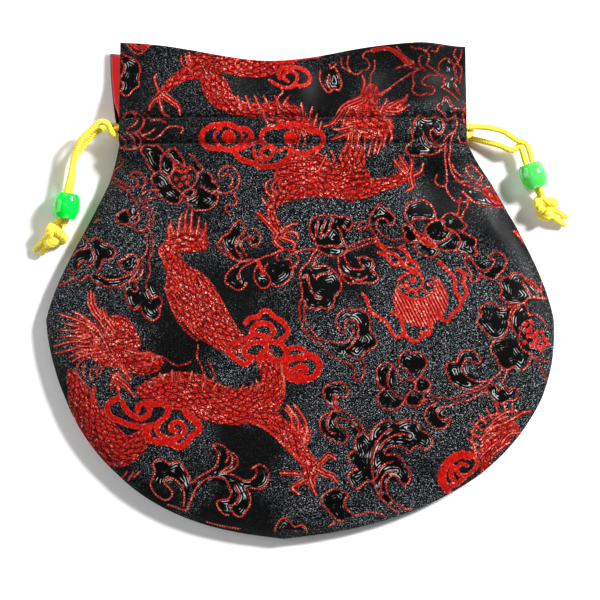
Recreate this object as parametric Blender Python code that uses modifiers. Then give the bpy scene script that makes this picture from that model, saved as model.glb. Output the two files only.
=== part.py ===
"""A drawstring pouch of patterned brocade, lying flat, with its mouth towards +Y.

Two brocade panels are sewn together down the sides and round the bottom. Each has a red lining.
Two rows of stitches across the neck make a casing on each face, and above it the header is slit
at both sides. Two drawcords run through both casings, one leaving at each side. The two strands of
a cord pass through a bead and are tied in a knot.
"""

import math

import bmesh
import bpy
import numpy as np
from mathutils import Matrix, Vector

# Cut of the panels, as they lie, in metres.
BODY_WIDTH = 0.1416  # across the widest line
BODY_DEPTH = 0.0610  # from the widest line down to the bottom seam
SHOULDER_RISE = 0.0489  # from the widest line up to the lower row of stitches
SHOULDER_FLARE = 0.0100  # how far the side leans in at the widest line
NECK_FLARE = 0.0180  # how far it leans in where it meets the neck
BOTTOM_FULLNESS = 0.04  # how much fuller the round bottom is than half an ellipse
BOTTOM_POINT = 0.0010  # how far its lowest point stands out
NECK_WIDTH = 0.0968  # across the casing
HEADER_WIDTH = 0.0962  # across the mouth
CASING_HEIGHT = 0.0072  # between the two rows of stitches
HEADER_HEIGHT = 0.0217  # from the upper row of stitches to the mouth's corners
MOUTH_DIP = 0.0057  # how far the front edge of the mouth sinks between its corners
MOUTH_DIP_AT = -0.0080  # where it sinks most, across the pouch
MOUTH_DIP_REACH = 0.0260
MOUTH_CORNER_DROP = 0.0015  # how far the front edge's right corner sinks
BACK_MOUTH_DROP = 0.0034  # the back edge of the mouth lies this much lower
BACK_MOUTH_DIP = 0.0019

# How the cloth lies: the sideways shift of its middle line, at heights up from the bottom seam.
LEAN_AT = (0.0, 0.0090, 0.0180, 0.0275, 0.0390, 0.0475, 0.0610, 0.0860, 0.0990, 0.1085)
LEAN = (-0.0046, -0.0022, -0.0003, 0.0004, 0.0010, 0.0008, 0.0, 0.0005, 0.0001, -0.0016)
HEADER_SHIFT = -0.0020
BACK_HEADER_SHIFT = -0.0029  # the back of the header shows past the front's left edge

# Cloth.
BROCADE = 0.00045
LINING = 0.00025
CLOTH_GAP = 0.00035  # clearance between the cloths, and round the cords
LINING_GAP = 0.00045  # between a panel and its lining
LINING_INSET = 0.0015  # from the seam to the edge of the lining

# Heights above the surface that the pouch lies on.
SEAM_HEIGHT = 0.0031  # middle of the seam, between the two panels
EDGE_ROLL = 0.0021  # the quick rise beside the seam
EDGE_ROLL_WIDTH = 0.0024
LOFT = 0.0044  # the slow rise towards the middle
LOFT_WIDTH = 0.0190
BACK_ROLL_WIDTH = 0.0130  # the back panel is flat further in than this
NECK_HEIGHT = 0.0113  # top of the casing, in the middle
NECK_END_HEIGHT = 0.0072  # and at its two ends
MOUTH_HEIGHT = 0.0084
MOUTH_END_HEIGHT = 0.0042
STITCH_DIP = 0.0013
STITCH_DIP_WIDTH = 0.0010
PUCKER = 0.0005  # gathers above and below the casing
PUCKER_LENGTH = 0.0185
PUCKER_REACH = 0.0090

# Soft folds of the front: (x and y of one end, x and y of the other, height, width).
FOLDS = (
    (0.000, 0.027, 0.052, 0.017, 0.0010, 0.0065),
    (0.000, 0.013, 0.050, 0.003, -0.0008, 0.0070),
    (-0.056, 0.025, -0.020, 0.027, 0.0007, 0.0060),
    (-0.054, 0.011, -0.026, 0.014, -0.0006, 0.0060),
    (-0.042, 0.0560, 0.000, 0.0570, 0.0006, 0.0040),
    (0.002, 0.0630, 0.042, 0.0610, -0.0006, 0.0050),
    (-0.050, -0.014, 0.020, -0.012, 0.0006, 0.0080),
    (-0.030, -0.030, 0.036, -0.034, -0.0006, 0.0080),
    (0.004, -0.058, 0.006, -0.066, -0.0007, 0.0060),
)

# Cords, beads and knots.
CORD = 0.0017
LANE_SPACING = 0.0026  # between the two cords that share a casing
STRAND_SPACING = 0.0019  # between the two strands in a bead
BEAD_WIDTH = 0.0076
BEAD_LENGTH = 0.0072
BEAD_END_WIDTH = 0.0058
BEAD_HOLE = 0.0041
KNOT_WIDTH = 0.0056
KNOT_LENGTH = 0.0062
KNOT_GROOVE = 0.15  # depth of its grooves, as a share of its radius
TAIL_SPACING = 0.0019  # between the middles of the two short ends

# Where the beads, knots and cord ends lie. The pouch's middle is the origin.
LEFT_BEAD_AT = (-0.0652, 0.0235)
LEFT_BEAD_WAY = (0.170, 0.985)  # along the cord, from the knot towards the pouch
LEFT_KNOT_AT = (-0.0684, 0.0152)
LEFT_TAIL_AT = (-0.0735, 0.0103)
RIGHT_BEAD_AT = (0.0652, 0.0319)
RIGHT_BEAD_WAY = (-0.330, 0.944)
RIGHT_KNOT_AT = (0.0686, 0.0232)
RIGHT_TAIL_AT = (0.0748, 0.0190)
LEFT_STRAIGHT = 0.0136  # length of cord beyond the bead's middle that its slide needs straight
RIGHT_STRAIGHT = 0.0090
TAIL_GAP = 0.0003  # between a cord and its knot

# Fineness of the cords and of the cloth grids.
CORD_STEP = 0.0050
COLUMNS = 22
HEADER_ROWS = 4
CASING_ROWS = 4
SHOULDER_ROWS = 7
BOTTOM_ROWS = 7
CORNER_ANGLE = math.radians(46)  # where the grid's lower corners sit on the round bottom

Y_BOTTOM = -(BODY_DEPTH + SHOULDER_RISE + CASING_HEIGHT + HEADER_HEIGHT) / 2
Y_WIDEST = Y_BOTTOM + BODY_DEPTH
Y_LOWER_ROW = Y_WIDEST + SHOULDER_RISE
Y_UPPER_ROW = Y_LOWER_ROW + CASING_HEIGHT
Y_TOP = Y_UPPER_ROW + HEADER_HEIGHT
Y_CASING = (Y_LOWER_ROW + Y_UPPER_ROW) / 2
CORD_ROOM = CORD + CLOTH_GAP


def smooth(value, low, high):
    """0 below low, 1 above high, and an even S between them."""
    share = min(1.0, max(0.0, (value - low) / (high - low)))
    return share * share * (3 - 2 * share)


def lean(y):
    """How far sideways the pouch's middle line lies at a height."""
    heights = [Y_BOTTOM + rise for rise in LEAN_AT] + [Y_LOWER_ROW + 0.0010]
    return float(np.interp(y, heights, LEAN + (HEADER_SHIFT,)))


def half_width(y):
    """Half the pouch's width at a height, down to its widest line."""
    if y >= Y_LOWER_ROW:
        share = (y - Y_LOWER_ROW) / (Y_TOP - Y_LOWER_ROW)
        return (NECK_WIDTH + (HEADER_WIDTH - NECK_WIDTH) * share) / 2
    t = (y - Y_WIDEST) / SHOULDER_RISE
    wide, neck = BODY_WIDTH / 2, NECK_WIDTH / 2
    rise, fall = t * t * (3 - 2 * t), t * (1 - t) ** 2
    return wide + (neck - wide) * rise - SHOULDER_FLARE * fall + NECK_FLARE * t * t * (1 - t)


def bottom_point(angle):
    """A point of the round bottom, by its angle below the widest line's right end."""
    sine, cosine = math.sin(angle), math.cos(angle)
    point = BOTTOM_POINT * (1 - math.exp(-abs(cosine) / 0.12)) * sine**4
    y = Y_WIDEST - BODY_DEPTH * sine + point
    fullness = 1 + BOTTOM_FULLNESS * sine**2 * abs(cosine)
    return Vector((BODY_WIDTH / 2 * cosine * fullness + lean(y), y))


def side_stations():
    """The pairs (left end, right end) of the cloth grid's rows, from the mouth down."""
    steps = [(1 - k / HEADER_ROWS) ** 1.5 for k in range(HEADER_ROWS)]
    heights = [Y_UPPER_ROW + HEADER_HEIGHT * step for step in steps]
    heights += [Y_UPPER_ROW - CASING_HEIGHT * k / CASING_ROWS for k in range(CASING_ROWS)]
    for k in range(SHOULDER_ROWS + 1):
        share = (k / SHOULDER_ROWS) ** 1.5
        heights.append(Y_LOWER_ROW - SHOULDER_RISE * share)
    ends = []
    for y in heights:
        middle, half = lean(y), half_width(y)
        ends.append((Vector((middle - half, y)), Vector((middle + half, y))))
    for k in range(1, BOTTOM_ROWS + 1):
        angle = CORNER_ANGLE * math.sin(math.pi / 2 * k / BOTTOM_ROWS)
        ends.append((bottom_point(math.pi - angle), bottom_point(angle)))
    return ends


def seam_points():
    """Points close together along the sewn edge, from the left end of the casing to the right."""
    line = []
    for k in range(60):
        y = Y_LOWER_ROW - 0.003 - (SHOULDER_RISE - 0.003) * k / 60
        line.append((lean(y) - half_width(y), y))
    for k in range(181):
        line.append(tuple(bottom_point(math.pi * (1 - k / 180))))
    for k in range(60):
        y = Y_WIDEST + (SHOULDER_RISE - 0.003) * (k + 1) / 60
        line.append((lean(y) + half_width(y), y))
    return np.array(line)


SEAM = seam_points()


def from_seam(x, y):
    """Distance from a point of the cloth to the sewn edge."""
    return float(np.sqrt(((SEAM - (x, y)) ** 2).sum(axis=1)).min())


def across(x, y):
    """How far out a point lies, from 0 in the middle to 1 at the side."""
    y = max(y, Y_WIDEST)
    return min(1.0, abs(x - lean(y)) / half_width(y))


def casing_share(y, margin):
    """1 between the two rows of stitches, falling to 0 within a margin outside them."""
    return smooth(y, Y_LOWER_ROW - margin, Y_LOWER_ROW) * (
        1 - smooth(y, Y_UPPER_ROW, Y_UPPER_ROW + margin)
    )


def gathers(x, y):
    """The soft puckers that fan out above and below the casing."""
    below, above = Y_LOWER_ROW - y, y - Y_UPPER_ROW
    reach = max(below, above, 0.0) / PUCKER_REACH
    fan = 1 + 0.35 * max(below, 0.0) / PUCKER_REACH
    wave = math.cos(2 * math.pi * (x - HEADER_SHIFT) / (PUCKER_LENGTH * fan))
    return PUCKER * wave * reach * math.exp(1 - reach) * (1 - across(x, y) ** 4)


def folds(x, y):
    """How far the soft folds lift or lower the front."""
    lift = 0.0
    for x0, y0, x1, y1, height, width in FOLDS:
        run_x, run_y = x1 - x0, y1 - y0
        share = ((x - x0) * run_x + (y - y0) * run_y) / (run_x**2 + run_y**2)
        share = min(1.0, max(0.0, share))
        off = math.hypot(x - x0 - run_x * share, y - y0 - run_y * share)
        lift += height * math.exp(-((off / width) ** 2))
    return lift


def front_height(x, y):
    """Height of the front panel's outer face."""
    d = from_seam(x, y)
    body = SEAM_HEIGHT + CLOTH_GAP / 2 + BROCADE
    body += EDGE_ROLL * (1 - math.exp(-d / EDGE_ROLL_WIDTH))
    body += LOFT * (1 - math.exp(-d / LOFT_WIDTH))
    out = across(x, y) ** 4
    neck = NECK_HEIGHT + (NECK_END_HEIGHT - NECK_HEIGHT) * out
    mouth = MOUTH_HEIGHT + (MOUTH_END_HEIGHT - MOUTH_HEIGHT) * out
    upper = neck + (mouth - neck) * smooth(y, Y_UPPER_ROW, Y_UPPER_ROW + 0.6 * HEADER_HEIGHT)
    low = Y_LOWER_ROW - 0.0060 - 0.0080 * (1 - out)
    height = body + (upper - body) * smooth(y, low, Y_LOWER_ROW)
    return height + gathers(x, y) + folds(x, y) * smooth(d, 0, 0.0060)


def stitch_dip(y):
    """How far the stitches pull the outer cloth in."""
    rows = (Y_LOWER_ROW, Y_UPPER_ROW)
    return STITCH_DIP * sum(math.exp(-(((y - row) / STITCH_DIP_WIDTH) ** 2)) for row in rows)


def back_height(x, y):
    """Height of the back panel's outer face: flat on the surface, rising to the seam."""
    sewn = 1 - smooth(y, Y_LOWER_ROW - 0.0080, Y_LOWER_ROW)
    rise = (1 - smooth(from_seam(x, y), 0, BACK_ROLL_WIDTH)) ** 2
    return (SEAM_HEIGHT - CLOTH_GAP / 2 - BROCADE) * rise * sewn


def upright_depth(height, x, y, depth):
    """The vertical distance that makes a depth square to the cloth."""
    step = 0.0004
    slope_x = (height(x + step, y) - height(x - step, y)) / (2 * step)
    slope_y = (height(x, y + step) - height(x, y - step)) / (2 * step)
    return depth * math.sqrt(1 + slope_x**2 + slope_y**2)


def cloth_points(back=False, inset=0.0):
    """Rows of (x, y) over a panel. Lower rows sag step by step into the round bottom."""
    ends = side_stations()
    bottom_left, bottom_right = ends[-1]
    first_sagging = len(ends) - 1 - BOTTOM_ROWS
    rows = []
    for r, (left, right) in enumerate(ends):
        depth = max(0, r - first_sagging) / BOTTOM_ROWS
        wave = max(0.0, (left.y - Y_UPPER_ROW) / HEADER_HEIGHT) ** 2
        above = max(0.0, (left.y - Y_LOWER_ROW) / (Y_TOP - Y_LOWER_ROW))
        row = []
        for c in range(COLUMNS + 1):
            u = c / COLUMNS
            u -= 0.5 * math.sin(2 * math.pi * u) / (2 * math.pi)
            p = left.lerp(right, u)
            arc = bottom_point(math.pi - CORNER_ANGLE - (math.pi - 2 * CORNER_ANGLE) * u)
            p += (arc - bottom_left.lerp(bottom_right, u)) * math.sin(depth * math.pi / 2) ** 3
            if back:
                dip = BACK_MOUTH_DROP + BACK_MOUTH_DIP * math.sin(math.pi * u)
                p.x += BACK_HEADER_SHIFT * (1 - (1 - above) ** 2) * (1 - u)
            else:
                dip = MOUTH_DIP * math.exp(-(((p.x - MOUTH_DIP_AT) / MOUTH_DIP_REACH) ** 2))
                dip += MOUTH_CORNER_DROP * smooth(u, 0.86, 1)
            p.y -= dip * wave
            row.append(p)
        rows.append(row)
    return [[drawn_in(p, inset) for p in row] for row in rows]


def drawn_in(p, inset):
    """A point moved towards the pouch's middle, by about the inset at the edge, less in the header."""
    y_share = (p.y - Y_BOTTOM) / (Y_TOP - Y_BOTTOM) - 0.5
    middle = lean(p.y)
    half = BODY_WIDTH / 2
    below_header = 1 - 0.85 * smooth(p.y, Y_UPPER_ROW + 0.0005, Y_UPPER_ROW + 0.0060)
    inset *= below_header
    return Vector((p.x - (p.x - middle) / half * inset * 1.25, p.y - 2 * y_share * inset))


def cloth_object(name, rows, height, thickness, outward, material):
    """A sheet of cloth over rows of points, thickened away from its outer face."""
    mesh = bpy.data.meshes.new(name)
    sheet = bmesh.new()
    last_row, last_column = len(rows) - 1, len(rows[0]) - 1
    bmesh.ops.create_grid(sheet, x_segments=last_column, y_segments=last_row, size=1)
    for vertex in sheet.verts:
        c = round((vertex.co.x + 1) / 2 * last_column)
        r = round((1 - vertex.co.y) / 2 * last_row)
        p = rows[r][c]
        vertex.co = (p.x, p.y, height(p.x, p.y))
    sheet.to_mesh(mesh)
    sheet.free()
    obj = bpy.data.objects.new(name, mesh)
    pouch.objects.link(obj)
    wall = obj.modifiers.new("wall", "SOLIDIFY")
    wall.thickness = thickness
    wall.offset = outward
    wall.use_quality_normals = True
    mesh.shade_smooth()
    mesh.materials.append(material)
    return obj


def make_material(name, colour, roughness):
    material = bpy.data.materials.new(name)
    material.use_nodes = True
    shader = material.node_tree.nodes["Principled BSDF"]
    shader.inputs["Base Color"].default_value = (*colour, 1)
    shader.inputs["Roughness"].default_value = roughness
    material.diffuse_color = (*colour, 1)
    return material


def make_panels():
    """The two brocade panels and their linings."""
    brocade = make_material("brocade", (0.10, 0.02, 0.02), 0.45)
    satin = make_material("red_lining", (0.60, 0.02, 0.03), 0.4)

    cover = BROCADE + LINING_GAP

    def front_face(x, y):
        return front_height(x, y) - stitch_dip(y)

    def front_lining_face(x, y):
        room = CORD_ROOM * casing_share(y, 0.0030)
        return front_height(x, y) - upright_depth(front_height, x, y, cover) - room

    def back_lining_face(x, y):
        room = CORD_ROOM * casing_share(y, 0.0030)
        return back_height(x, y) + upright_depth(back_height, x, y, cover) + room

    front, back = cloth_points(), cloth_points(back=True)
    front_in = cloth_points(inset=LINING_INSET)
    back_in = cloth_points(back=True, inset=LINING_INSET)
    cloth_object("front_panel", front, front_face, BROCADE, -1, brocade)
    cloth_object("back_panel", back, back_height, BROCADE, 1, brocade)
    cloth_object("front_lining", front_in, front_lining_face, LINING, -1, satin)
    cloth_object("back_lining", back_in, back_lining_face, LINING, 1, satin)


def smooth_line(points, spacing):
    """Points about evenly spaced along the rounded line that passes through the given ones."""
    points = [Vector(p) for p in points]
    ends = [2 * points[0] - points[1]] + points + [2 * points[-1] - points[-2]]
    line = [points[0]]
    for before, a, b, after in zip(ends, ends[1:], ends[2:], ends[3:]):
        steps = max(1, round((b - a).length / spacing))
        for k in range(1, steps + 1):
            t = k / steps
            inner = (b - before) * t + (2 * before - 5 * a + 4 * b - after) * t * t
            line.append(a + (inner + (3 * a - before - 3 * b + after) * t**3) / 2)
    return line


def bead_place(side):
    """(middle of the bead, direction of its hole towards the pouch)."""
    at, way = (LEFT_BEAD_AT, LEFT_BEAD_WAY) if side < 0 else (RIGHT_BEAD_AT, RIGHT_BEAD_WAY)
    return Vector((*at, BEAD_WIDTH / 2 + 0.0001)), Vector((*way, 0)).normalized()


def strand_at_knot(side, turn):
    """The end of a strand, just short of the knot."""
    knot_at = LEFT_KNOT_AT if side < 0 else RIGHT_KNOT_AT
    knot = Vector((*knot_at, KNOT_WIDTH / 2 + 0.0002))
    way = (bead_place(side)[0] - knot).normalized()
    level = Vector((0, 0, 1)).cross(way).normalized()
    angle = math.radians(turn)
    offset = level * math.cos(angle) + way.cross(level) * math.sin(angle)
    return knot + way * (KNOT_LENGTH / 2 + TAIL_GAP) + offset * STRAND_SPACING / 2


def strand_in_bead(side, along, turn):
    """A point of a strand on the bead's axis line. turn is the strands' twist about it, in degrees."""
    middle, way = bead_place(side)
    level = Vector((0, 0, 1)).cross(way)
    angle = math.radians(turn)
    offset = level * math.cos(angle) + Vector((0, 0, 1)) * math.sin(angle)
    return middle + way * along + offset * STRAND_SPACING / 2


def lane_height(x, y, front):
    """Height of a cord's middle inside the casing."""
    if front:
        return front_height(x, y) - BROCADE - CLOTH_GAP / 2 - CORD_ROOM / 2
    return BROCADE + CLOTH_GAP / 2 + CORD_ROOM / 2


def lane(side, y, front):
    """Points of a cord through one casing, from the side where it enters to the other."""
    reach = NECK_WIDTH / 2
    return [
        (lean(y) + side * reach * s, y, lane_height(lean(y) + side * reach * s, y, front))
        for s in (0.96, 0.82, 0.62, 0.4, 0.2, 0, -0.2, -0.4, -0.62, -0.82, -0.97)
    ]


def turn_at_end(side, y_front, y_back):
    """The bend from the front casing to the back one, round the end of the neck."""
    x = lean(y_front) - side * NECK_WIDTH / 2
    high, low = lane_height(x, y_front, True), lane_height(x, y_back, False)
    share = (0.13, 0.5, 0.87)
    out = (0.0007, 0.0016, 0.0007)
    return [
        (x - side * o, y_front + (y_back - y_front) * s, high + (low - high) * s)
        for s, o in zip(share, out)
    ]


def left_route():
    """The left cord, from its knot through the pouch and back to the knot."""
    y_front, y_back = Y_CASING - LANE_SPACING / 2, Y_CASING + LANE_SPACING / 2
    front_strand = [
        strand_at_knot(-1, 20),
        strand_in_bead(-1, -0.0030, 30),
        strand_in_bead(-1, 0.0040, 50),
        strand_in_bead(-1, 0.0090, 75),
        strand_in_bead(-1, LEFT_STRAIGHT, 80),
        (-0.0611, 0.0418, 0.0056),
        (-0.0582, 0.0447, 0.0062),
        (-0.0556, 0.0468, 0.0068),
        (-0.0536, 0.0462, 0.0070),
        (-0.0526, 0.0440, 0.0062),
        (-0.0509, 0.0429, 0.0054),
    ]
    back_strand = [
        (-0.0506, 0.0456, 0.0017),
        (-0.0532, 0.0458, 0.0026),
        (-0.0560, 0.0446, 0.0040),
        (-0.0592, 0.0418, 0.0039),
        strand_in_bead(-1, LEFT_STRAIGHT, 260),
        strand_in_bead(-1, 0.0090, 255),
        strand_in_bead(-1, 0.0040, 235),
        strand_in_bead(-1, -0.0030, 210),
        strand_at_knot(-1, 200),
    ]
    inside = lane(-1, y_front, True) + turn_at_end(-1, y_front, y_back)
    inside += lane(-1, y_back, False)[::-1]
    return front_strand + inside + back_strand


def right_route():
    """The right cord, from its knot through the pouch and back to the knot."""
    y_front, y_back = Y_CASING + LANE_SPACING / 2, Y_CASING - LANE_SPACING / 2
    front_strand = [
        strand_at_knot(1, 100),
        strand_in_bead(1, -0.0030, 120),
        strand_in_bead(1, 0.0040, 165),
        strand_in_bead(1, RIGHT_STRAIGHT, 178),
        (0.0604, 0.0418, 0.0049),
        (0.0568, 0.0441, 0.0056),
        (0.0528, 0.0452, 0.0058),
        (0.0488, 0.0455, 0.0054),
    ]
    back_strand = [
        (0.0484, 0.0423, 0.0016),
        (0.0520, 0.0414, 0.0022),
        (0.0556, 0.0404, 0.0032),
        (0.0592, 0.0390, 0.0037),
        strand_in_bead(1, RIGHT_STRAIGHT, -2),
        strand_in_bead(1, 0.0040, -15),
        strand_in_bead(1, -0.0030, -60),
        strand_at_knot(1, -80),
    ]
    inside = lane(1, y_front, True) + turn_at_end(1, y_front, y_back)
    inside += lane(1, y_back, False)[::-1]
    return front_strand + inside + back_strand


def make_cord(name, route, material):
    line = smooth_line(route, CORD_STEP)
    curve = bpy.data.curves.new(name, "CURVE")
    curve.dimensions = "3D"
    curve.bevel_depth = CORD / 2
    curve.bevel_resolution = 2
    curve.use_fill_caps = True
    spline = curve.splines.new("POLY")
    spline.points.add(len(line) - 1)
    for point, place in zip(spline.points, line):
        point.co = (*place, 1)
    curve.materials.append(material)
    obj = bpy.data.objects.new(name, curve)
    pouch.objects.link(obj)
    return obj


def make_bead(name, side, material):
    """A barrel bead: a closed profile turned about its hole."""
    hole, half = BEAD_HOLE / 2, BEAD_LENGTH / 2
    lip = 0.0003
    profile = [(hole, half - lip), (hole + lip, half)]
    steps = 8
    for k in range(steps + 1):
        height = half * (1 - 2 * k / steps)
        bulge = 1 - (height / half) ** 2
        radius = BEAD_END_WIDTH / 2 + (BEAD_WIDTH - BEAD_END_WIDTH) / 2 * bulge**0.75
        profile.append((radius, height))
    profile += [(hole + lip, -half), (hole, -half + lip)]
    mesh = bpy.data.meshes.new(name)
    edges = [(k, (k + 1) % len(profile)) for k in range(len(profile))]
    mesh.from_pydata([(r, 0, z) for r, z in profile], edges, [])
    obj = bpy.data.objects.new(name, mesh)
    pouch.objects.link(obj)
    turn = obj.modifiers.new("turn", "SCREW")
    turn.steps = turn.render_steps = 18
    turn.use_merge_vertices = True
    turn.merge_threshold = 0.00001
    turn.use_smooth_shade = True
    mesh.materials.append(material)
    middle, way = bead_place(side)
    obj.rotation_mode = "QUATERNION"
    obj.rotation_quaternion = way.to_track_quat("Z", "Y")
    obj.location = middle
    return obj


def joined(name, pieces, material):
    """One solid from several overlapping ones, by Boolean unions."""
    base = pieces[0]
    for piece in pieces[1:]:
        union = base.modifiers.new("join", "BOOLEAN")
        union.operation = "UNION"
        union.object = piece
        guides.objects.link(piece)
        piece.hide_render = True
        piece.display_type = "WIRE"
    base.name = name
    base.data.name = name
    base.data.materials.append(material)
    pouch.objects.link(base)
    return base


def shape_object(name, build):
    """An object, in no collection yet, whose mesh is made by a function that fills a bmesh."""
    mesh = bpy.data.meshes.new(name)
    shape = bmesh.new()
    build(shape)
    shape.to_mesh(mesh)
    shape.free()
    return bpy.data.objects.new(name, mesh)


def knot_lump(place, size):
    """The outer shape of a tied knot: an ellipsoid with grooves where the turns of cord meet."""
    grooves = [Vector((0.30, 0.15, 1)), Vector((1, -0.45, 0.35))]

    def build(shape):
        bmesh.ops.create_uvsphere(shape, u_segments=15, v_segments=10, radius=0.5)
        for vertex in shape.verts:
            way = vertex.co.normalized()
            nearest = min(abs(way.dot(groove.normalized())) for groove in grooves)
            vertex.co *= 1 - KNOT_GROOVE * math.exp(-((nearest / 0.17) ** 2))
        bmesh.ops.transform(shape, matrix=place @ Matrix.Diagonal((*size, 1)), verts=shape.verts)

    return shape_object("knot_lump", build)


def cord_end(start, end):
    """A short straight end of cord."""
    start, end = Vector(start), Vector(end)
    way = end - start

    def build(shape):
        bmesh.ops.create_cone(
            shape, cap_ends=True, segments=8, radius1=CORD / 2, radius2=CORD / 2, depth=way.length
        )
        turn = way.to_track_quat("Z", "Y").to_matrix().to_4x4()
        place = Matrix.Translation((start + end) / 2) @ turn
        bmesh.ops.transform(shape, matrix=place, verts=shape.verts)

    return shape_object("cord_end", build)


def make_knot(name, knot_at, tail_at, bead_at, material):
    """The knot that ties two strands together, with their two short ends."""
    middle = Vector((*knot_at, KNOT_WIDTH / 2 + 0.0002))
    level_way = (Vector((*bead_at, 0)) - Vector((*knot_at, 0))).normalized()
    turn = level_way.to_track_quat("Z", "Y").to_matrix().to_4x4()
    lump = knot_lump(Matrix.Translation(middle) @ turn, (KNOT_WIDTH, KNOT_WIDTH, KNOT_LENGTH))
    tail = Vector((*tail_at, CORD / 2 + 0.0001))
    side = (tail - middle).cross(Vector((0, 0, 1))).normalized() * TAIL_SPACING / 2
    inner = middle.lerp(tail, 0.15)
    ends = [
        cord_end(inner + side, tail + side * 1.7),
        cord_end(inner - side, tail - side * 1.7 + (middle - tail) * 0.12),
    ]
    return joined(name, [lump] + ends, material)


bpy.context.view_layer.update()
for old in list(bpy.data.objects):
    bpy.data.objects.remove(old)
pouch = bpy.data.collections.new("drawstring_pouch")
guides = bpy.data.collections.new("cutters")
for collection in (pouch, guides):
    bpy.context.scene.collection.children.link(collection)

make_panels()
yellow_cord = make_material("yellow_cord", (0.95, 0.70, 0.03), 0.5)
green_bead = make_material("green_bead", (0.03, 0.75, 0.12), 0.1)
make_cord("drawcord_left", left_route(), yellow_cord)
make_cord("drawcord_right", right_route(), yellow_cord)
make_bead("bead_left", -1, green_bead)
make_bead("bead_right", 1, green_bead)
make_knot("knot_left", LEFT_KNOT_AT, LEFT_TAIL_AT, LEFT_BEAD_AT, yellow_cord)
make_knot("knot_right", RIGHT_KNOT_AT, RIGHT_TAIL_AT, RIGHT_BEAD_AT, yellow_cord)
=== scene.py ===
"""The drawstring pouch as it lies: patterned brocade, red satin lining, two cords, beads and knots.

The brocade is two fine grids over the pouch's outline. Its woven figures are threads and bodies
drawn as lists of points, and each point of the grids keeps how far inside the nearest one it lies.
"""

import math

import bpy
import numpy as np
from mathutils import Matrix, Vector, kdtree


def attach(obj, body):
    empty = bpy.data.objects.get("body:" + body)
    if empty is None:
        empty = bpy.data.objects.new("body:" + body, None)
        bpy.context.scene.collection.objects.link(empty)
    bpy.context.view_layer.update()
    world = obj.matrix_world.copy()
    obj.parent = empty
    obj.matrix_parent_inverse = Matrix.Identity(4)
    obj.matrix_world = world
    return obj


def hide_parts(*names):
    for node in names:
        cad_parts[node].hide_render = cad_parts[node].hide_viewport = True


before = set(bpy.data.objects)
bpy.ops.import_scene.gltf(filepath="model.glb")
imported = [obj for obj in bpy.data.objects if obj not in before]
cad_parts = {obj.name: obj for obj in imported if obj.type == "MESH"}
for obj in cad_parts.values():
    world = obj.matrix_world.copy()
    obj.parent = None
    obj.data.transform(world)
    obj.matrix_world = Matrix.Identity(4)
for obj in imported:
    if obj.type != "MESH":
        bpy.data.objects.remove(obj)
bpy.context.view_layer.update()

# The cut of the panels as they lie, in metres, the same as the CAD model's.
BODY_WIDTH = 0.1416
BODY_DEPTH = 0.0610
SHOULDER_RISE = 0.0489
SHOULDER_FLARE = 0.0100
NECK_FLARE = 0.0180
BOTTOM_FULLNESS = 0.04
BOTTOM_POINT = 0.0010
BOTTOM_POINT_WIDTH = 0.12
NECK_WIDTH = 0.0968
HEADER_WIDTH = 0.0962
CASING_HEIGHT = 0.0072
HEADER_HEIGHT = 0.0217
MOUTH_DIP = 0.0057
MOUTH_DIP_AT = -0.0080
MOUTH_DIP_REACH = 0.0260
MOUTH_CORNER_DROP = 0.0015
MOUTH_CORNER_FROM = 0.86  # where along the mouth its right corner begins to sink
BACK_MOUTH_DROP = 0.0034
BACK_MOUTH_DIP = 0.0019
LEAN_AT = (0.0, 0.0090, 0.0180, 0.0275, 0.0390, 0.0475, 0.0610, 0.0860, 0.0990, 0.1085)
LEAN = (-0.0046, -0.0022, -0.0003, 0.0004, 0.0010, 0.0008, 0.0, 0.0005, 0.0001, -0.0016)
HEADER_SHIFT = -0.0020
BACK_HEADER_SHIFT = -0.0029
CORNER_ANGLE = math.radians(46)

# The cloths, the room between them and how high they lie.
BROCADE = 0.00045
CLOTH_GAP = 0.00035
LINING_GAP = 0.00045
LINING_INSET = 0.0015
SIDE_INSET = 1.25  # how much more than that at the sides
HEADER_INSET_LESS = 0.85  # the share of it that the header does without
CASING_MARGIN = 0.0030  # how far past the stitches the linings still make room for the cords
SEAM_HEIGHT = 0.0031
EDGE_ROLL = 0.0021
EDGE_ROLL_WIDTH = 0.0024
LOFT = 0.0044
LOFT_WIDTH = 0.0190
BACK_ROLL_WIDTH = 0.0130
NECK_HEIGHT = 0.0113
NECK_END_HEIGHT = 0.0072
NECK_FROM = 0.0060  # how far below the casing the neck's ends begin, and how much lower its middle
NECK_FROM_MIDDLE = 0.0080
BACK_NECK_FROM = 0.0080
MOUTH_FROM = 0.6  # share of the header in which the neck's height turns into the mouth's
MOUTH_HEIGHT = 0.0084
MOUTH_END_HEIGHT = 0.0042
STITCH_DIP = 0.0013
STITCH_DIP_WIDTH = 0.0010
PUCKER = 0.0005
PUCKER_LENGTH = 0.0185
PUCKER_REACH = 0.0090
PUCKER_FAN = 0.35

# Soft folds of the front: (x and y of one end, x and y of the other, height, width). They die out
# over FOLD_FADE beside the seam.
FOLD_FADE = 0.0060
FOLDS = (
    (0.000, 0.027, 0.052, 0.017, 0.0010, 0.0065),
    (0.000, 0.013, 0.050, 0.003, -0.0008, 0.0070),
    (-0.056, 0.025, -0.020, 0.027, 0.0007, 0.0060),
    (-0.054, 0.011, -0.026, 0.014, -0.0006, 0.0060),
    (-0.042, 0.0560, 0.000, 0.0570, 0.0006, 0.0040),
    (0.002, 0.0630, 0.042, 0.0610, -0.0006, 0.0050),
    (-0.050, -0.014, 0.020, -0.012, 0.0006, 0.0080),
    (-0.030, -0.030, 0.036, -0.034, -0.0006, 0.0080),
    (0.004, -0.058, 0.006, -0.066, -0.0007, 0.0060),
)

# Small wrinkles, which only the visual model has.
STITCH_PITCH = 0.0024
STITCH_PUCKER = 0.00014
STITCH_PUCKER_REACH = 0.0022
RIPPLE = 0.00005

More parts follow.
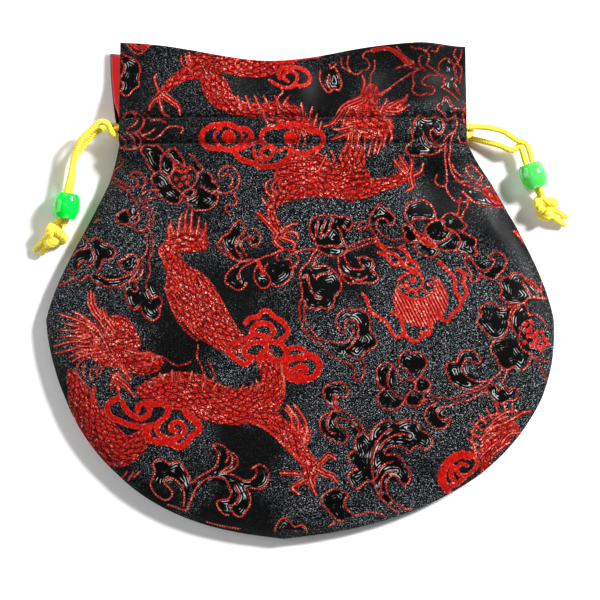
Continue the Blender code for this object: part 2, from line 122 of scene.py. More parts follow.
# Cords, beads and knots, the same as the CAD model's.
CORD = 0.0017
LANE_SPACING = 0.0026
STRAND_SPACING = 0.0019
BEAD_WIDTH = 0.0076
BEAD_LENGTH = 0.0072
BEAD_END_WIDTH = 0.0058
# How much longer than wide the ball is that a bead is cut from, and how round its rims are.
BEAD_FULLNESS = 1.45
BEAD_EDGE = 0.0003
KNOT_WIDTH = 0.0056
KNOT_LENGTH = 0.0062
TAIL_SPACING = 0.0019
TAIL_GAP = 0.0003
BEAD_AT = {"left": (-0.0652, 0.0235), "right": (0.0652, 0.0319)}
BEAD_WAY = {"left": (0.170, 0.985), "right": (-0.330, 0.944)}
KNOT_AT = {"left": (-0.0684, 0.0152), "right": (0.0686, 0.0232)}
TAIL_AT = {"left": (-0.0735, 0.0103), "right": (0.0748, 0.0190)}
STRAIGHT = {"left": 0.0136, "right": 0.0090}
PLIES = 3
PLY_TURN = 0.0023  # length of cord in which a ply goes once round it
PLY_GROOVE = 0.82  # how far out the grooves between the plies lie, as a share of the radius
PLY_CROWN = 0.20  # how much further the plies stand out, and how round they are
PLY_ROUNDNESS = 0.7
IN_CASING = 3  # how many steps of a free strand still lie in the casing
ROUTE_STEP = 0.0006
KNOT_ROPE = 0.0027
KNOT_STEPS = 72
KNOT_REACH = ((KNOT_LENGTH / 2 - 0.0006) / 3, (KNOT_WIDTH / 2 - 0.0005) / 3, 0.0014)  # along, across, up
SURFACE_GAP = 0.0001  # how far above the surface the cords' ends and the beads lie

# Stitches: black thread in two rows.
STITCH_THREAD = 0.00026
STITCH_SPOTS = (-0.00095, -0.0005, 0, 0.0005, 0.00095)
FRONT_STITCH_HEIGHTS = (-0.0001, 0.00006, 0.0001, 0.00006, -0.0001)
BACK_STITCH_HEIGHTS = (0.00028, 0.00018, 0.00016, 0.00018, 0.00028)
ROW_END_GAP = 0.0012

# Rings of the turned edge: how far out each one lies from the cloth's rim, and how deep.
HEM = ((0.00008, 0.00012), (0.00009, 0.00026), (0.00000, 0.00038), (-0.00035, 0.00042))
LINING_HEM = ((0.00004, 0.00008), (0.00000, 0.00018), (-0.00020, 0.00020))

# The view from straight above.
VIEW_MIDDLE = (0.0, -0.0028)
VIEW_WIDTH = 0.168
VIEW_HEIGHT = 1.2
SENSOR = 36

# Soft square lamps: (name, direction from the pouch, distance, size, power).
LAMPS = (
    ("window", (0.68, 0.45, 0.57), 1.6, 0.30, 62),
    ("ceiling", (-0.16, 0.14, 0.98), 2.4, 0.45, 3),
    ("left_wall", (-0.85, 0.1, 0.42), 1.6, 1.2, 11),
    ("near_wall", (0.1, -0.85, 0.42), 1.6, 1.2, 7),
    ("far_wall", (-0.2, 0.85, 0.40), 1.6, 1.2, 7),
)
ROOM_LIGHT = 0.06

# The woven pattern is drawn in steps of this size from its top left corner, and the lengths below
# are in these steps: threads' widths, then how often beads, scales, strands and leaf threads repeat.
PATTERN_STEP = 0.00028
PATTERN_CORNER = (-0.0840, 0.0812)
OUTLINE_WIDTH = 2.2
KNOB_WIDTH = 4.4
CLOUD_SHARE = 0.88  # how wide a broad thread is woven, of its given width
BEAD_STEP = 2.6
SCALE_LENGTH = 6.4
SCALE_WIDTH = 6.0
STRAND_STEP = 3.1
FLOAT_STEP = 2.4
FRAY = 2.2
UNWOVEN = -20.0  # kept where no thread is near

# Heights of the relief that the materials add, in metres.
THREAD_HEIGHT = 0.00032
SPECKLE_HEIGHT = 0.00006
RIB_HEIGHT = 0.00004
FIBRE_HEIGHT = 0.00008
SCUFF_HEIGHT = 0.00005

Y_BOTTOM = -(BODY_DEPTH + SHOULDER_RISE + CASING_HEIGHT + HEADER_HEIGHT) / 2
Y_WIDEST = Y_BOTTOM + BODY_DEPTH
Y_LOWER_ROW = Y_WIDEST + SHOULDER_RISE
Y_UPPER_ROW = Y_LOWER_ROW + CASING_HEIGHT
Y_TOP = Y_UPPER_ROW + HEADER_HEIGHT
Y_CASING = (Y_LOWER_ROW + Y_UPPER_ROW) / 2
CORD_ROOM = CORD + CLOTH_GAP

# Outline threads, as (x, y, x, y, ...), in steps of the cloth's pattern from its top left corner.
OUTLINES = [
    (122,54,127,57,134,60,139,64,141,72,139,80,140,87,134,91,130,96,126,97,121,93),
    (122,62,125,67,124,73,121,79), (120,80,124,86,121,92),
    (127,44,131,50,137,55,143,54,147,50,150,47,157,45),
    (124,119,128,114,133,114,137,118,138,123,134,127,128,130),
    (132,113,139,115,144,119,145,124,142,130,137,134), (146,115,149,118,152,121),
    (152,122,160,121,167,124),
    (141,134,146,139,152,141,158,139,163,135,166,131,171,128,177,128,183,129,184,132,181,135),
    (145,136,151,134,156,130), (128,134,133,138,136,144,135,149),
    (135,134,140,138,142,143,140,148,135,150), (121,136,124,140,127,143,126,146),
    (121,149,128,150,135,150), (182,57,182,64,186,69,192,72), (186,55,187,62,191,68),
    (190,54,190,60,194,66), (264,112,265,120,269,126,274,128), (281,90,283,94,279,98,277,103),
    (284,107,286,102,289,98), (301,133,305,140,303,148), (297,133,300,140,297,147),
    (320,72,320,82,324,90,329,94,334,90,338,92,341,87,340,80,337,73,334,68),
    (329,76,327,84,330,90,333,92), (331,70,329,66), (333,69,336,65), (341,60,341,66,344,70,349,73),
    (348,58,347,66,351,74,357,76,362,72,367,71,369,66,366,61,362,59,365,54,372,52),
    (374,62,374,70,370,77,370,84,366,90), (396,48,402,56,410,62,414,66), (395,70,404,67,412,69,420,71),
    (411,74,402,80,393,86,386,92,380,98),
    (419,70,413,74,412,80,413,86,411,91,414,95,420,97,425,95,430,96,434,92,432,88,426,87,421,84,424,
     79,430,76,436,77), (420,57,418,62,420,67,424,71), (423,52,428,56,428,61,426,66,432,70,439,76,446,79),
    (410,48,414,50,419,50,425,52,429,48), (431,52,436,53,438,48,443,47),
    (438,71,438,66,441,62,446,59,451,63,455,68), (446,79,442,82,444,85,441,88,447,92,452,96,457,101),
    (455,50,453,56,457,62,453,68,454,74,457,80,453,85,456,91,459,96),
    (461,50,460,58,457,64,461,70,460,78,459,84), (462,103,466,106,463,111,467,116),
    (444,117,440,113,436,109,438,105,442,103,443,99,446,98,449,103,452,109), (444,117,446,121),
    (452,109,458,110,463,111),
    (414,130,413,124,416,119,420,117,424,120,430,120,434,118,440,121,443,126,442,132,438,136,434,133,
     431,130,429,134,430,139,433,143,437,145),
    (409,129,411,136,412,142,406,147,405,153,411,157,420,156,430,156,437,153,443,149),
    (422,134,424,141,428,146,434,148,440,147,444,144), (446,121,451,119,455,116),
    (455,118,456,126,454,132,448,136,443,142), (462,115,463,122,466,128),
    (445,144,444,152,444,160,445,168,446,176),
    (454,132,450,140,449,152,448,160,450,170,454,178,460,182,468,183), (457,138,460,144,465,143,467,139),
    (451,165,455,173,461,177), (465,172,466,168,471,166,475,169,478,173,482,177,479,182,474,183),
    (466,172,468,176,472,180), (454,180,462,185,471,188,480,190,488,187,494,190),
    (461,192,466,197,472,202,480,205,488,207,495,207,503,208), (475,184,484,187),
    (436,176,434,181,437,186,442,187,446,184,446,178), (445,187,447,193,451,199,456,202,460,198),
    (459,200,458,206,457,213,453,216), (467,200,466,207,462,213,461,218),
    (462,192,466,196,470,200,466,202,460,202), (405,205,412,202,419,200,427,203,432,209,434,215,435,219),
    (405,205,405,210,404,216,406,221,410,225,412,231,415,236),
    (410,225,404,226,401,229,404,234,404,239,408,242,413,243,418,243), (413,219,420,219,428,220,432,219),
    (413,221,411,226,415,232,417,238,421,243,428,246,433,247),
    (440,220,430,223,424,230,426,236,432,242,436,243,443,240,449,235,450,230), (442,221,443,226,444,230),
    (440,219,446,214,452,214,458,218,461,222,465,225,463,230,459,232),
    (444,230,450,230,456,235,459,241,457,247,454,250),
    (456,230,462,233,468,236,474,239,475,244,473,248,477,253,473,256),
    (434,243,434,247,438,250,445,251,453,251,461,253,466,255),
    (414,244,414,250,420,254,427,257,433,257,437,253,440,250),
    (369,225,369,217,374,211,377,206,379,205,385,210,391,215,394,219,392,226,388,225,386,221,382,219,
     378,220,375,225,378,232,384,237,390,240,397,240,404,238),
    (357,228,359,224,364,223,368,226,372,232,377,239,382,245,390,248,398,248,404,244),
    (358,229,361,231,366,228),
    (310,235,310,222,315,218,321,216,328,217,334,216,340,218,345,217,351,220,352,225,349,230,345,230,
     342,226),
    (310,235,314,240,316,246,319,251,326,255,334,257,341,256,346,252,347,248,344,243,342,238,340,232,
     337,228), (318,222,316,230,316,238), (325,220,322,230,320,238), (332,221,329,230,324,238),
    (318,246,325,247,332,246,338,247,344,244), (344,252,352,250,360,247,368,244,376,243),
    (346,248,355,244,363,241,372,239,378,243), (290,255,296,253,304,250,312,250,318,250),
    (296,255,299,261,294,267,290,268),
    (317,250,312,255,309,262,304,267,300,272,300,281,302,290,302,298,305,304,309,308,316,309,320,307,
     326,309,331,308,334,302,334,297,338,293,341,288,340,281,336,274,330,268,322,266,315,267,311,265),
    (320,254,315,259,314,265), (307,275,309,283,311,291,316,297,321,298),
    (313,275,316,279,320,275,326,274,331,272), (306,275,303,278),
    (300,300,299,308,300,318,302,326,307,334,314,340,321,344,326,351,332,356,340,360,347,362,352,366,
     355,372,352,377),
    (305,303,304,312,306,322,311,330,318,337,326,340,336,342,346,341,351,336,353,330,351,327),
    (343,333,338,329,336,323,336,317,340,312,346,309,352,310,358,309,364,311,368,316,370,323,369,329,
     373,334,376,340,375,346,369,349,364,353,360,358),
    (345,331,344,325,348,320,353,319,357,324,358,331,356,338,352,344,347,348),
    (347,355,352,357,357,359,362,359,364,366,363,373,361,379,357,381), (352,377,357,381),
    (338,258,338,266,340,272,346,276,353,279,360,280,366,277),
    (340,270,342,278,346,282,351,284,356,282,362,283,370,284,376,281,378,277,374,273,370,271,373,266,
     372,261,367,258,361,257,358,260,360,265,363,268), (343,252,345,260,349,267,355,270,362,270),
    (469,256,464,258,465,265,469,271,471,276,468,276,464,274),
    (468,258,474,265,480,270,487,270,492,265,493,260,487,258,490,254,496,252,502,256,505,262,503,269,
     498,274,494,279,488,279,482,276,478,274), (471,276,469,280,474,282,478,278,479,273),
    (506,277,500,279,498,284,501,291,498,296,502,300,508,303,515,304,522,303),
    (508,278,512,273,518,274,524,278,530,281,535,286,539,291), (521,282,524,288,529,294,534,297),
    (523,279,530,285,535,290,538,293), (541,281,540,288,541,296,546,299),
    (522,303,528,298,536,298,545,299),
    (510,306,504,308,498,308,492,303,486,303,480,307,478,311,481,314,477,318,476,323,481,328,485,333,
     490,338,496,339,502,336,505,331,507,325,508,318,510,310,514,306,520,304),
    (518,305,512,313,510,321,511,328,515,335), (523,303,526,310,528,315,534,314,540,318,547,326),
    (528,320,522,323,519,331,517,340,520,348,527,353,533,357,541,360,548,362),
    (530,330,533,338,538,346,542,355),
    (502,338,494,340,490,345,490,352,495,357,497,364,502,368,508,369,513,366,518,370,524,368,528,362,
     531,355,527,352), (531,356,536,363,540,368,543,375,547,381),
    (456,361,458,354,463,350,470,350,476,354,480,359,477,363,472,362,468,359,463,361,461,367,464,374,
     470,379,478,381,486,380,494,377,499,371,502,368),
    (456,361,452,362,446,363,444,369,447,375,449,381,456,386,464,389,472,388,480,384),
    (506,369,504,376,501,382,505,388,507,391),
    (490,380,486,385,485,391,489,397,495,402,501,403,507,400,513,400,517,395,516,389,511,388,508,391),
    (491,385,495,384,498,388,497,391),
    (422,377,428,381,430,387,427,391,431,395,440,397,450,398,460,395,468,392,478,389,485,385),
    (447,406,456,402,466,400,474,396,482,392,487,391),
    (436,403,428,406,424,412,425,419,430,425,436,428,444,427,448,422,449,417,443,419,438,417,436,411,
     440,407,447,406), (418,402,424,399,430,400,436,403),
    (399,366,398,359,401,353,407,350,412,353,417,351,423,356,426,361,424,368,420,375),
    (384,388,378,384,376,378,376,370,380,364,387,362,393,366,396,370),
    (391,366,387,376,387,384,391,390,397,396,404,399), (394,368,398,375,402,382),
    (399,366,406,370,411,376,415,380), (384,388,378,393,377,400,381,406,388,409,396,408,401,404,404,399),
    (405,378,411,380,415,384,413,390),
    (416,380,414,386,417,391,423,392,428,388,430,383,425,378,419,376,416,380),
    (418,391,412,390,407,393,405,398,406,403,411,406,418,405,423,400,422,394),
    (338,410,332,406,327,402,324,396,323,389,328,384,334,382,341,382,346,386,348,392,345,397,340,395,
     336,396,336,402,340,408,347,412,355,418,361,425,365,432,370,437),
    (340,411,333,410,326,413,320,418,320,426,323,433,330,438,336,441,341,443,347,438,346,431,343,427,
     337,424,334,420,338,417,344,418,350,421,356,427,360,432), (331,412,327,418,326,425,330,431,335,433),
    (337,408,333,400,334,394),
    (370,438,372,429,378,423,385,420,391,420,396,423,402,420,410,419,416,422,420,429,427,433,432,439,
     429,446,423,449,417,445,412,447,409,451,403,446,396,445,389,446,384,450,386,454,392,453,399,456,
     404,463,409,471,409,479,405,484,400,481,396,476,390,475,386,481,386,489,390,497,397,504,405,508,
     412,508), (360,433,355,438,354,446,356,452),
    (352,450,348,455,349,462,354,466,357,468,350,471,348,477,351,484,356,488,361,485,365,481,370,480,
     374,484,376,490,380,497,387,503,393,509,398,511),
    (391,428,382,434,376,442,372,452,371,462,372,472,374,482), (409,435,400,433,390,436,382,442,377,450),
    (392,461,384,463,378,469,376,477), (396,470,388,471,382,476,380,486,382,494),
    (343,520,337,519,331,513,325,507,321,500,323,494,330,489,337,487,343,490,348,494,344,499,345,506,
     349,510,354,514,362,513,370,511,380,513,384,515), (328,526,335,521),
    (475,452,472,442,472,430,478,420,488,415,496,413),
    (155,173,149,167,146,159,142,152,144,147,149,146,155,147,158,146,162,150,165,154),
    (166,155,162,160,161,168,164,174,170,177,174,172,174,163,171,157,166,155),
    (167,153,171,150,176,150,180,155,184,160,185,164,181,166),
    (190,155,195,159,198,164,203,168,203,172,199,174), (177,168,172,174,171,182,176,188),
    (190,166,196,172,198,180,194,187,190,190),
    (155,174,162,173,168,177,172,184,177,189,182,194,182,200,178,205,171,204,165,200,160,196,156,187,
     152,180,155,174), (184,194,187,191,193,190,197,193,194,197,188,199,184,194),
    (182,198,188,205,194,210,202,211,210,210,216,205,219,199,216,195,209,192,202,187),
    (208,173,213,178,213,182,217,185,219,190,214,193), (160,191,154,191,147,192,143,195),
    (158,198,152,199,146,200), (110,180,118,186,126,190,132,196,137,204,140,212,137,217,133,220),
    (112,177,120,181,127,186,133,188), (139,198,144,206,149,214,150,222,148,227),
    (145,200,150,206,154,213,155,220,153,226), (129,210,122,212,117,217,118,222,125,225,130,224,137,231),
    (128,210,130,217), (141,218,138,223,132,225), (137,231,143,231,149,227),
    (142,230,147,236,148,245,147,253,142,259,137,262), (149,228,153,236,154,246,152,255,149,261),
    (131,177,134,173,140,173,145,178,146,184,143,190), (132,176,137,180,139,185,135,188),
    (121,157,124,162,121,167,115,171,113,178), (95,223,99,219),
    (84,235,88,239,89,246,93,250,96,256,95,262,90,267,86,262,82,262,79,266,81,271),
    (92,240,98,238,105,243,112,246,117,252,115,257,110,260,103,261,102,267,98,273,103,277,110,280,120,
     279,128,276,134,274), (74,256,78,251,88,249),
    (68,269,74,273,75,278,82,281,90,275,95,281,102,285,110,287,120,287,127,283,134,280),
    (58,286,66,283,74,278),
    (137,267,140,263,139,258,136,255,130,255,126,259,120,261,122,268,127,272,133,272,136,269),
    (138,262,140,268,137,274,131,280), (143,264,144,270,141,277,135,281),
    (149,262,151,268,150,276,147,284,149,292,152,298), (133,281,137,284,139,289,136,292,131,289),
    (124,287,127,295,129,303,133,309,138,309,141,306,144,314,149,319,155,320,160,316,161,310,158,306),
    (153,299,155,298,159,296,163,301,162,306,159,309),
    (217,243,220,250,226,255,233,259,240,261,250,260,258,260,265,257,272,255,278,252,287,250,295,252,
     301,251), (216,244,220,242,222,238,227,235,230,233), (222,239,224,246,228,252,234,258),
    (230,233,233,227,238,222,241,221,244,226,246,231,242,235,238,240,236,246,238,253,243,258),
    (247,256,243,250,241,246,243,241,247,238,251,236,254,240),
    (250,238,251,245,255,247,260,243,261,236,257,231,252,229),
    (250,261,242,262,236,266,230,271,226,277,226,283,231,286,236,290,241,290,246,286,247,283),
    (256,261,248,265,242,269,239,276,241,283),
    (268,264,265,268,266,273,270,278,270,284,266,288,261,288,256,282,254,274,258,265),
    (271,284,277,287,284,284,290,279,293,272,292,264,290,260,285,259),
    (220,180,219,175,222,170,228,167,234,169,238,174,240,181,238,187,232,192,226,195),
    (224,177,228,174,232,178,233,184,228,188),
    (219,193,226,194,232,193,236,198,237,204,233,207,228,205,226,210,231,216), (278,255,276,259,279,261),
    (163,246,160,252,163,259,170,268), (165,287,170,300,174,312,182,325,190,334,198,340),
    (143,358,149,354,154,358,152,364,146,364), (155,357,163,356,170,361,178,365,186,364,192,361),
    (199,344,198,352,198,358,202,366,205,374,206,382), (209,361,213,368,215,374,213,380),
    (106,354,92,357,82,361,78,368,80,376,88,385,94,390,97,397), (86,364,84,371,86,378),
    (94,366,91,373,93,381), (101,364,97,370,98,377), (101,374,104,367,110,365,115,367),
    (112,353,118,362,124,370,131,377), (122,369,115,376,112,384,112,389), (119,384,120,392,122,398),
    (186,511,191,500,195,490,201,482,209,477,219,476,226,479,230,486,231,494,228,498,222,499,217,501,
     219,507,224,513,229,514), (168,504,176,506,183,509,190,508),
    (184,505,185,494,183,487,178,480,172,477,167,478,165,482,169,486,173,491,171,497,165,499,158,495,
     153,489,151,482,154,476,156,470,154,464,157,459,162,458,167,461,171,463,177,460,182,463,187,470,
     190,477,192,482,198,477,206,472,213,468,218,462,219,454,216,448,213,444,219,443,225,446,230,451,
     235,453,238,458,237,465,232,469,226,471,221,471), (227,451,229,456,226,461),
    (233,456,232,463,227,467,222,470),
    (228,472,236,475,243,479,250,479,255,476,257,470,254,466,252,468,257,464,263,464,268,470,269,478,
     265,485,259,488,250,486), (235,484,238,490,240,496,236,502,231,505),
    (246,486,250,493,251,501,247,509,242,515,237,515,232,510),
    (275,530,276,525,281,518,286,517,291,522,295,526,301,524,306,527,307,531),
    (250,420,265,428,280,440,292,452,302,462), (283,392,284,382,282,372,281,364),
    (207,521,222,525,240,528),
]

# Broad threads: (width, x, y, x, y, ...).
CLOUDS = [
    (6.5,234,152,222,150,210,149,203,143,203,135,210,129,220,126,230,126,238,130,247,131,252,137,248,
     143,241,147,234,150), (3.5,222,130,216,134,216,142,222,148), (15,229,138,230,139),
    (3,240,132,243,138,240,144),
    (6.5,236,153,238,158,245,162,255,165,262,168,275,167,285,162,290,156,291,150),
    (4.5,254,152,256,159,263,161,271,158,273,152,268,148,262,151,261,156,265,158),
    (4,238,152,246,149,254,145,262,143,270,147),
    (6,262,144,262,136,266,131,274,129,284,128,294,126,303,127,312,132,320,134,323,140,321,147,314,
     151,305,155,296,153), (15,290,139,291,140), (4,272,147,278,152,286,149),
    (5,280,80,279,74,284,70,292,69,300,70,307,74,310,80,307,86,300,88),
    (4,291,88,296,84,297,77,291,73,285,75,284,80,288,83), (4,270,82,276,86,284,89,292,89,297,86),
    (6,246,323,250,318,258,317,262,312,268,311,275,317,283,322,288,330,286,336,280,339),
    (6.5,252,334,254,327,262,323,270,325,274,331,272,335),
    (6.5,246,339,255,334,264,336,270,341,280,343,286,350,285,357,278,360,268,357,258,358,250,356),
    (6.5,240,340,232,344,228,350,233,356,240,361,246,364,250,361),
    (6.5,262,354,266,350,266,344,260,342,252,343,246,348,245,354,250,358),
    (6,285,357,288,350,296,347,304,350,306,355),
    (8,309,355,317,359,319,367,314,376,304,379,294,379,287,374,285,366,288,360,295,357,303,358),
    (7,297,367,303,366,306,370,301,374), (5,291,368,296,373,303,376),
    (7,120,397,112,401,108,408,112,416,120,420,130,424,142,426,155,424,162,420,168,414,169,406,162,
     403,152,404), (6.5,124,402,127,409,134,415,142,418,149,414,150,407,145,403,139,405,139,410),
    (8,186,411,193,418,199,423,199,430,192,435,188,441,180,446,170,442,160,441,150,438,147,432,150,427),
    (6,160,422,158,430,164,436,174,438,183,434,185,427,180,421,173,423,172,429,177,430),
    (10,447,489,441,479,443,468,450,459,459,454,468,455),
    (5,472,453,476,460,474,468,467,474,459,474,456,468,460,463,466,465), (6,449,485,455,484,463,478),
    (6,452,466,450,474,453,480),
    (4,378,253,385,256,390,263,396,266,400,261,394,255,386,252,381,247,377,246),
    (4.5,399,248,405,252,408,258,406,262,412,261,417,266,415,271), (4.5,399,262,405,267,412,270,418,274),
    (4.5,438,262,445,269,452,276,454,284,454,291,458,297,460,304,456,310,450,315,447,321,441,319,437,313),
    (4.5,456,269,463,274,462,282,465,290,465,296,460,301),
    (3.5,397,281,402,276,410,273,418,274,422,280,420,287,414,290,407,287,405,281),
    (3,396,288,402,295,410,299,420,299,430,294,434,286,432,278), (6,411,280,413,280),
    (4,362,294,366,299,368,306,372,313,380,318,386,323,390,330,395,337,400,336,404,331),
    (4.5,391,312,396,314,400,320,402,328,404,334,410,340,417,341), (4,419,333,426,331,430,326,428,321),
    (4.5,417,341,421,336,428,334,430,327), (4,514,232,519,236,524,243),
    (5,372,52,384,50,392,52,400,58,406,64,412,64), (4,259,262,261,268,263,274), (5,132,44,139,49,147,46),
    (5,270,62,285,64,300,60,320,57), (4,96,387,94,397,97,402),
]

# Tapering tongues of manes, fins, horns and claws: (width at the start, at the tip, x, y, ...).
TONGUES = [
    (4,3,160,93,157,86,155,79,157,76), (7,3,161,97,153,104,150,111), (5,3,160,99,162,108,165,116,170,118),
    (7,4,165,97,173,103,179,108,181,115), (5,2,240,107,238,97), (5,2,250,108,246,98),
    (5,2,260,109,255,98), (5,2,270,109,264,98), (5,2,280,109,275,98), (6,2,303,116,301,105),
    (6,2,309,120,312,109), (6,2,314,126,317,116), (6,2,318,134,321,124),
    (11,3,358,103,345,109,338,118,332,125,324,128), (6,3,348,112,344,120,343,126),
    (5,3,362,92,364,84,362,78), (5,2,378,96,384,93,390,90), (6,3,380,112,384,106,386,101),
    (8,3,350,128,340,131,334,131), (6,3,350,134,340,138,332,141), (5,3,348,138,346,145,345,150),
    (4,2,352,136,351,147), (4,2,358,136,357,148), (4,2,364,138,364,151), (4,2,371,143,367,158),
    (4,2,376,142,373,156), (4,2,381,141,377,155), (4,2,385,136,383,148), (4,3,386,120,392,128),
    (4,3,388,128,391,138,389,143), (4,3,380,116,390,123), (10,3,390,112,399,107,406,97),
    (8,3,388,113,398,113,407,107), (7,3,390,108,399,103,405,101), (6,4,404,174,398,168,394,162),
    (6,4,407,171,402,163,399,158), (5,4,410,172,411,165,410,161), (6,3,412,177,418,174,421,170,422,165),
    (7,4,410,178,411,184,412,188,407,191), (5,2,180,232,180,222,183,214), (5,2,186,232,186,220,188,211),
    (5,2,191,232,192,220,193,210), (5,2,197,234,199,224,200,218), (5,2,202,238,206,230,206,224),
    (5,2,174,234,172,226,172,221), (5,2,170,238,169,230,170,225), (5,8,258,214,266,221,272,227,277,233),
    (5,2,273,198,267,193,266,185,271,180), (5,2,277,195,272,189,274,184,278,179),
    (4,2,281,192,279,186,281,180), (4,2,272,207,266,205,262,198), (3,2,275,179,275,175,278,171),
    (5,3,279,234,287,227,293,225,297,224), (6,3,282,236,290,232,296,234,298,238),
    (6,4,282,238,290,241,295,244,294,248), (7,3,277,236,275,242,280,247,283,249),
    (7,12,92,294,93,304,97,312,104,320,112,332), (4,9,104,309,107,318,114,328),
    (9,3,104,338,90,326,76,319,61,314), (5,2,90,332,78,326,64,323), (5,2,92,336,78,331,61,330),
    (5,2,94,340,78,336,59,337), (6,3,98,343,80,341,66,343,55,346), (6,3,100,347,84,346,70,350,57,353),
    (5,2,102,351,90,350,80,352,70,357), (7,3,108,346,100,331,88,319,76,312),
    (5,3,104,352,92,353,80,357,74,361), (6,3,128,350,140,353,150,352,155,356),
    (6,5,112,355,120,362,126,370,131,378), (8,3,118,378,126,384,131,390,135,396), (4,2,150,386,146,380),
    (4,2,157,384,154,377), (4,2,165,380,161,373), (5,2,173,380,173,369), (5,2,182,379,180,371),
    (5,2,191,378,193,371), (5,2,203,388,205,380), (5,2,214,388,218,382), (5,2,226,390,230,386),
    (4,2,240,391,244,384), (4,2,250,390,253,383), (4,2,260,386,256,379),
    (4,3,303,440,307,430,305,420,299,410,294,404), (4,3,298,432,298,420,293,412,287,404),
    (4,3,293,428,291,416,285,409), (4,3,303,442,309,438,311,430), (7,5,314,467,322,460,328,454,334,457),
    (8,5,318,469,326,473,332,475,336,480), (6,5,300,473,290,472,282,472),
    (6,4,303,480,296,484,292,487,298,492), (8,3,311,480,313,487,316,494), (4,2,478,452,468,446),
    (4,2,476,444,466,438), (4,2,477,436,467,429), (4,2,480,429,471,421), (4,2,484,422,477,413),
    (4,2,490,417,485,408), (4,2,497,413,494,404), (4,2,504,411,503,402), (4,2,511,411,511,403),
    (4,3,480,446,490,436,500,430), (4,3,480,438,490,428,502,422), (4,3,484,430,494,421,506,416),
    (4,3,492,420,504,412,516,410), (5,3,480,456,490,446,500,440), (5,4,500,424,512,418,522,412,529,411),
    (3,2,122,478,128,471), (3,2,129,479,134,472), (3,2,135,476,140,471), (3,2,320,150,311,160),
    (3,2,326,157,318,172), (3,2,331,153,334,160,332,166), (7,5,500,444,508,434,519,432),
    (6,4,494,452,502,446,508,442),
]

# Scaled bodies and limbs: (x, y, width, x, y, width, ...).
BODIES = [
    (192,62,12,210,62,18,230,66,20,250,69,20,268,70,16,280,66,9,294,63,5),
    (203,68,12,211,80,22,218,93,26,226,103,20,240,110,16,258,112,14,275,113,20,290,118,24,302,127,18,
     313,132,10), (198,72,18,185,76,13,175,82,11,167,90,9,161,98,8),
    (346,122,12,356,120,26,366,122,34,376,125,30,386,126,14), (373,90,10,369,98,18,366,108,22),
    (352,142,12,352,156,24,350,170,28,347,184,26,350,196,14),
    (290,176,32,303,175,46,316,177,42,327,184,30,338,182,34,350,181,40),
    (300,190,20,286,196,14,275,203,12,271,213,9,275,223,8,279,232,10),
    (352,190,22,364,189,20,378,186,14,392,183,12,402,178,12,410,176,10),
    (165,250,12,174,262,20,180,276,26,190,292,46,200,306,46,212,322,40,226,336,30,240,344,18),
    (173,240,14,184,241,24,196,240,24,202,245,14), (106,343,28,118,344,34,128,342,28),
    (100,356,14,114,354,24,128,358,22,142,362,18,152,360,16,160,363,10),
    (112,322,14,122,324,18,130,332,16), (130,366,10,144,371,8,158,368,6),
    (72,372,8,77,388,18,84,406,28,94,426,36,108,442,38,122,450,32,136,444,22,146,434,14),
    (113,374,4,119,378,10,118,388,6),
    (142,390,10,156,391,26,172,390,36,190,392,40,210,400,40,230,406,36,250,404,36,266,398,34,274,384,
     24,271,370,22,266,358,20),
    (258,412,26,272,420,20,286,434,20,298,448,18,306,458,16,311,468,16,309,479,12),
    (290,424,8,299,432,18,304,440,10), (484,470,9,485,456,15,490,444,20,500,434,22,510,428,16),
    (484,192,6,491,197,10,498,203,6), (418,236,6,425,241,10,433,245,6),
]

# The flaming pearl: a disc whose strands run along the line of two points, as wide as the first
# number, and the round gap in it.
PEARL = (54.6, 419.3, 298.6, 419.7, 299.4)
PEARL_GAP = (38.5, 415.3, 279.3, 415.7, 279.7)

# Small round knobs of seed heads: (x, y, x, y, ...).
KNOBS = (
    524,324, 530,322, 534,334, 527,336, 541,332, 531,346, 539,349, 523,342, 536,341, 545,340, 190,178,
    177,180, 184,179, 181,186, 188,184, 182,173, 187,173, 190,169, 178,170, 176,164, 184,167, 529,328,
    536,331, 530,336, 537,339, 543,338, 542,346, 536,347, 547,344, 531,344, 525,331, 401,286, 407,292,
    415,294, 424,291, 428,284, 413,279, 411,281, 420,239, 426,243, 432,246, 424,236,
)

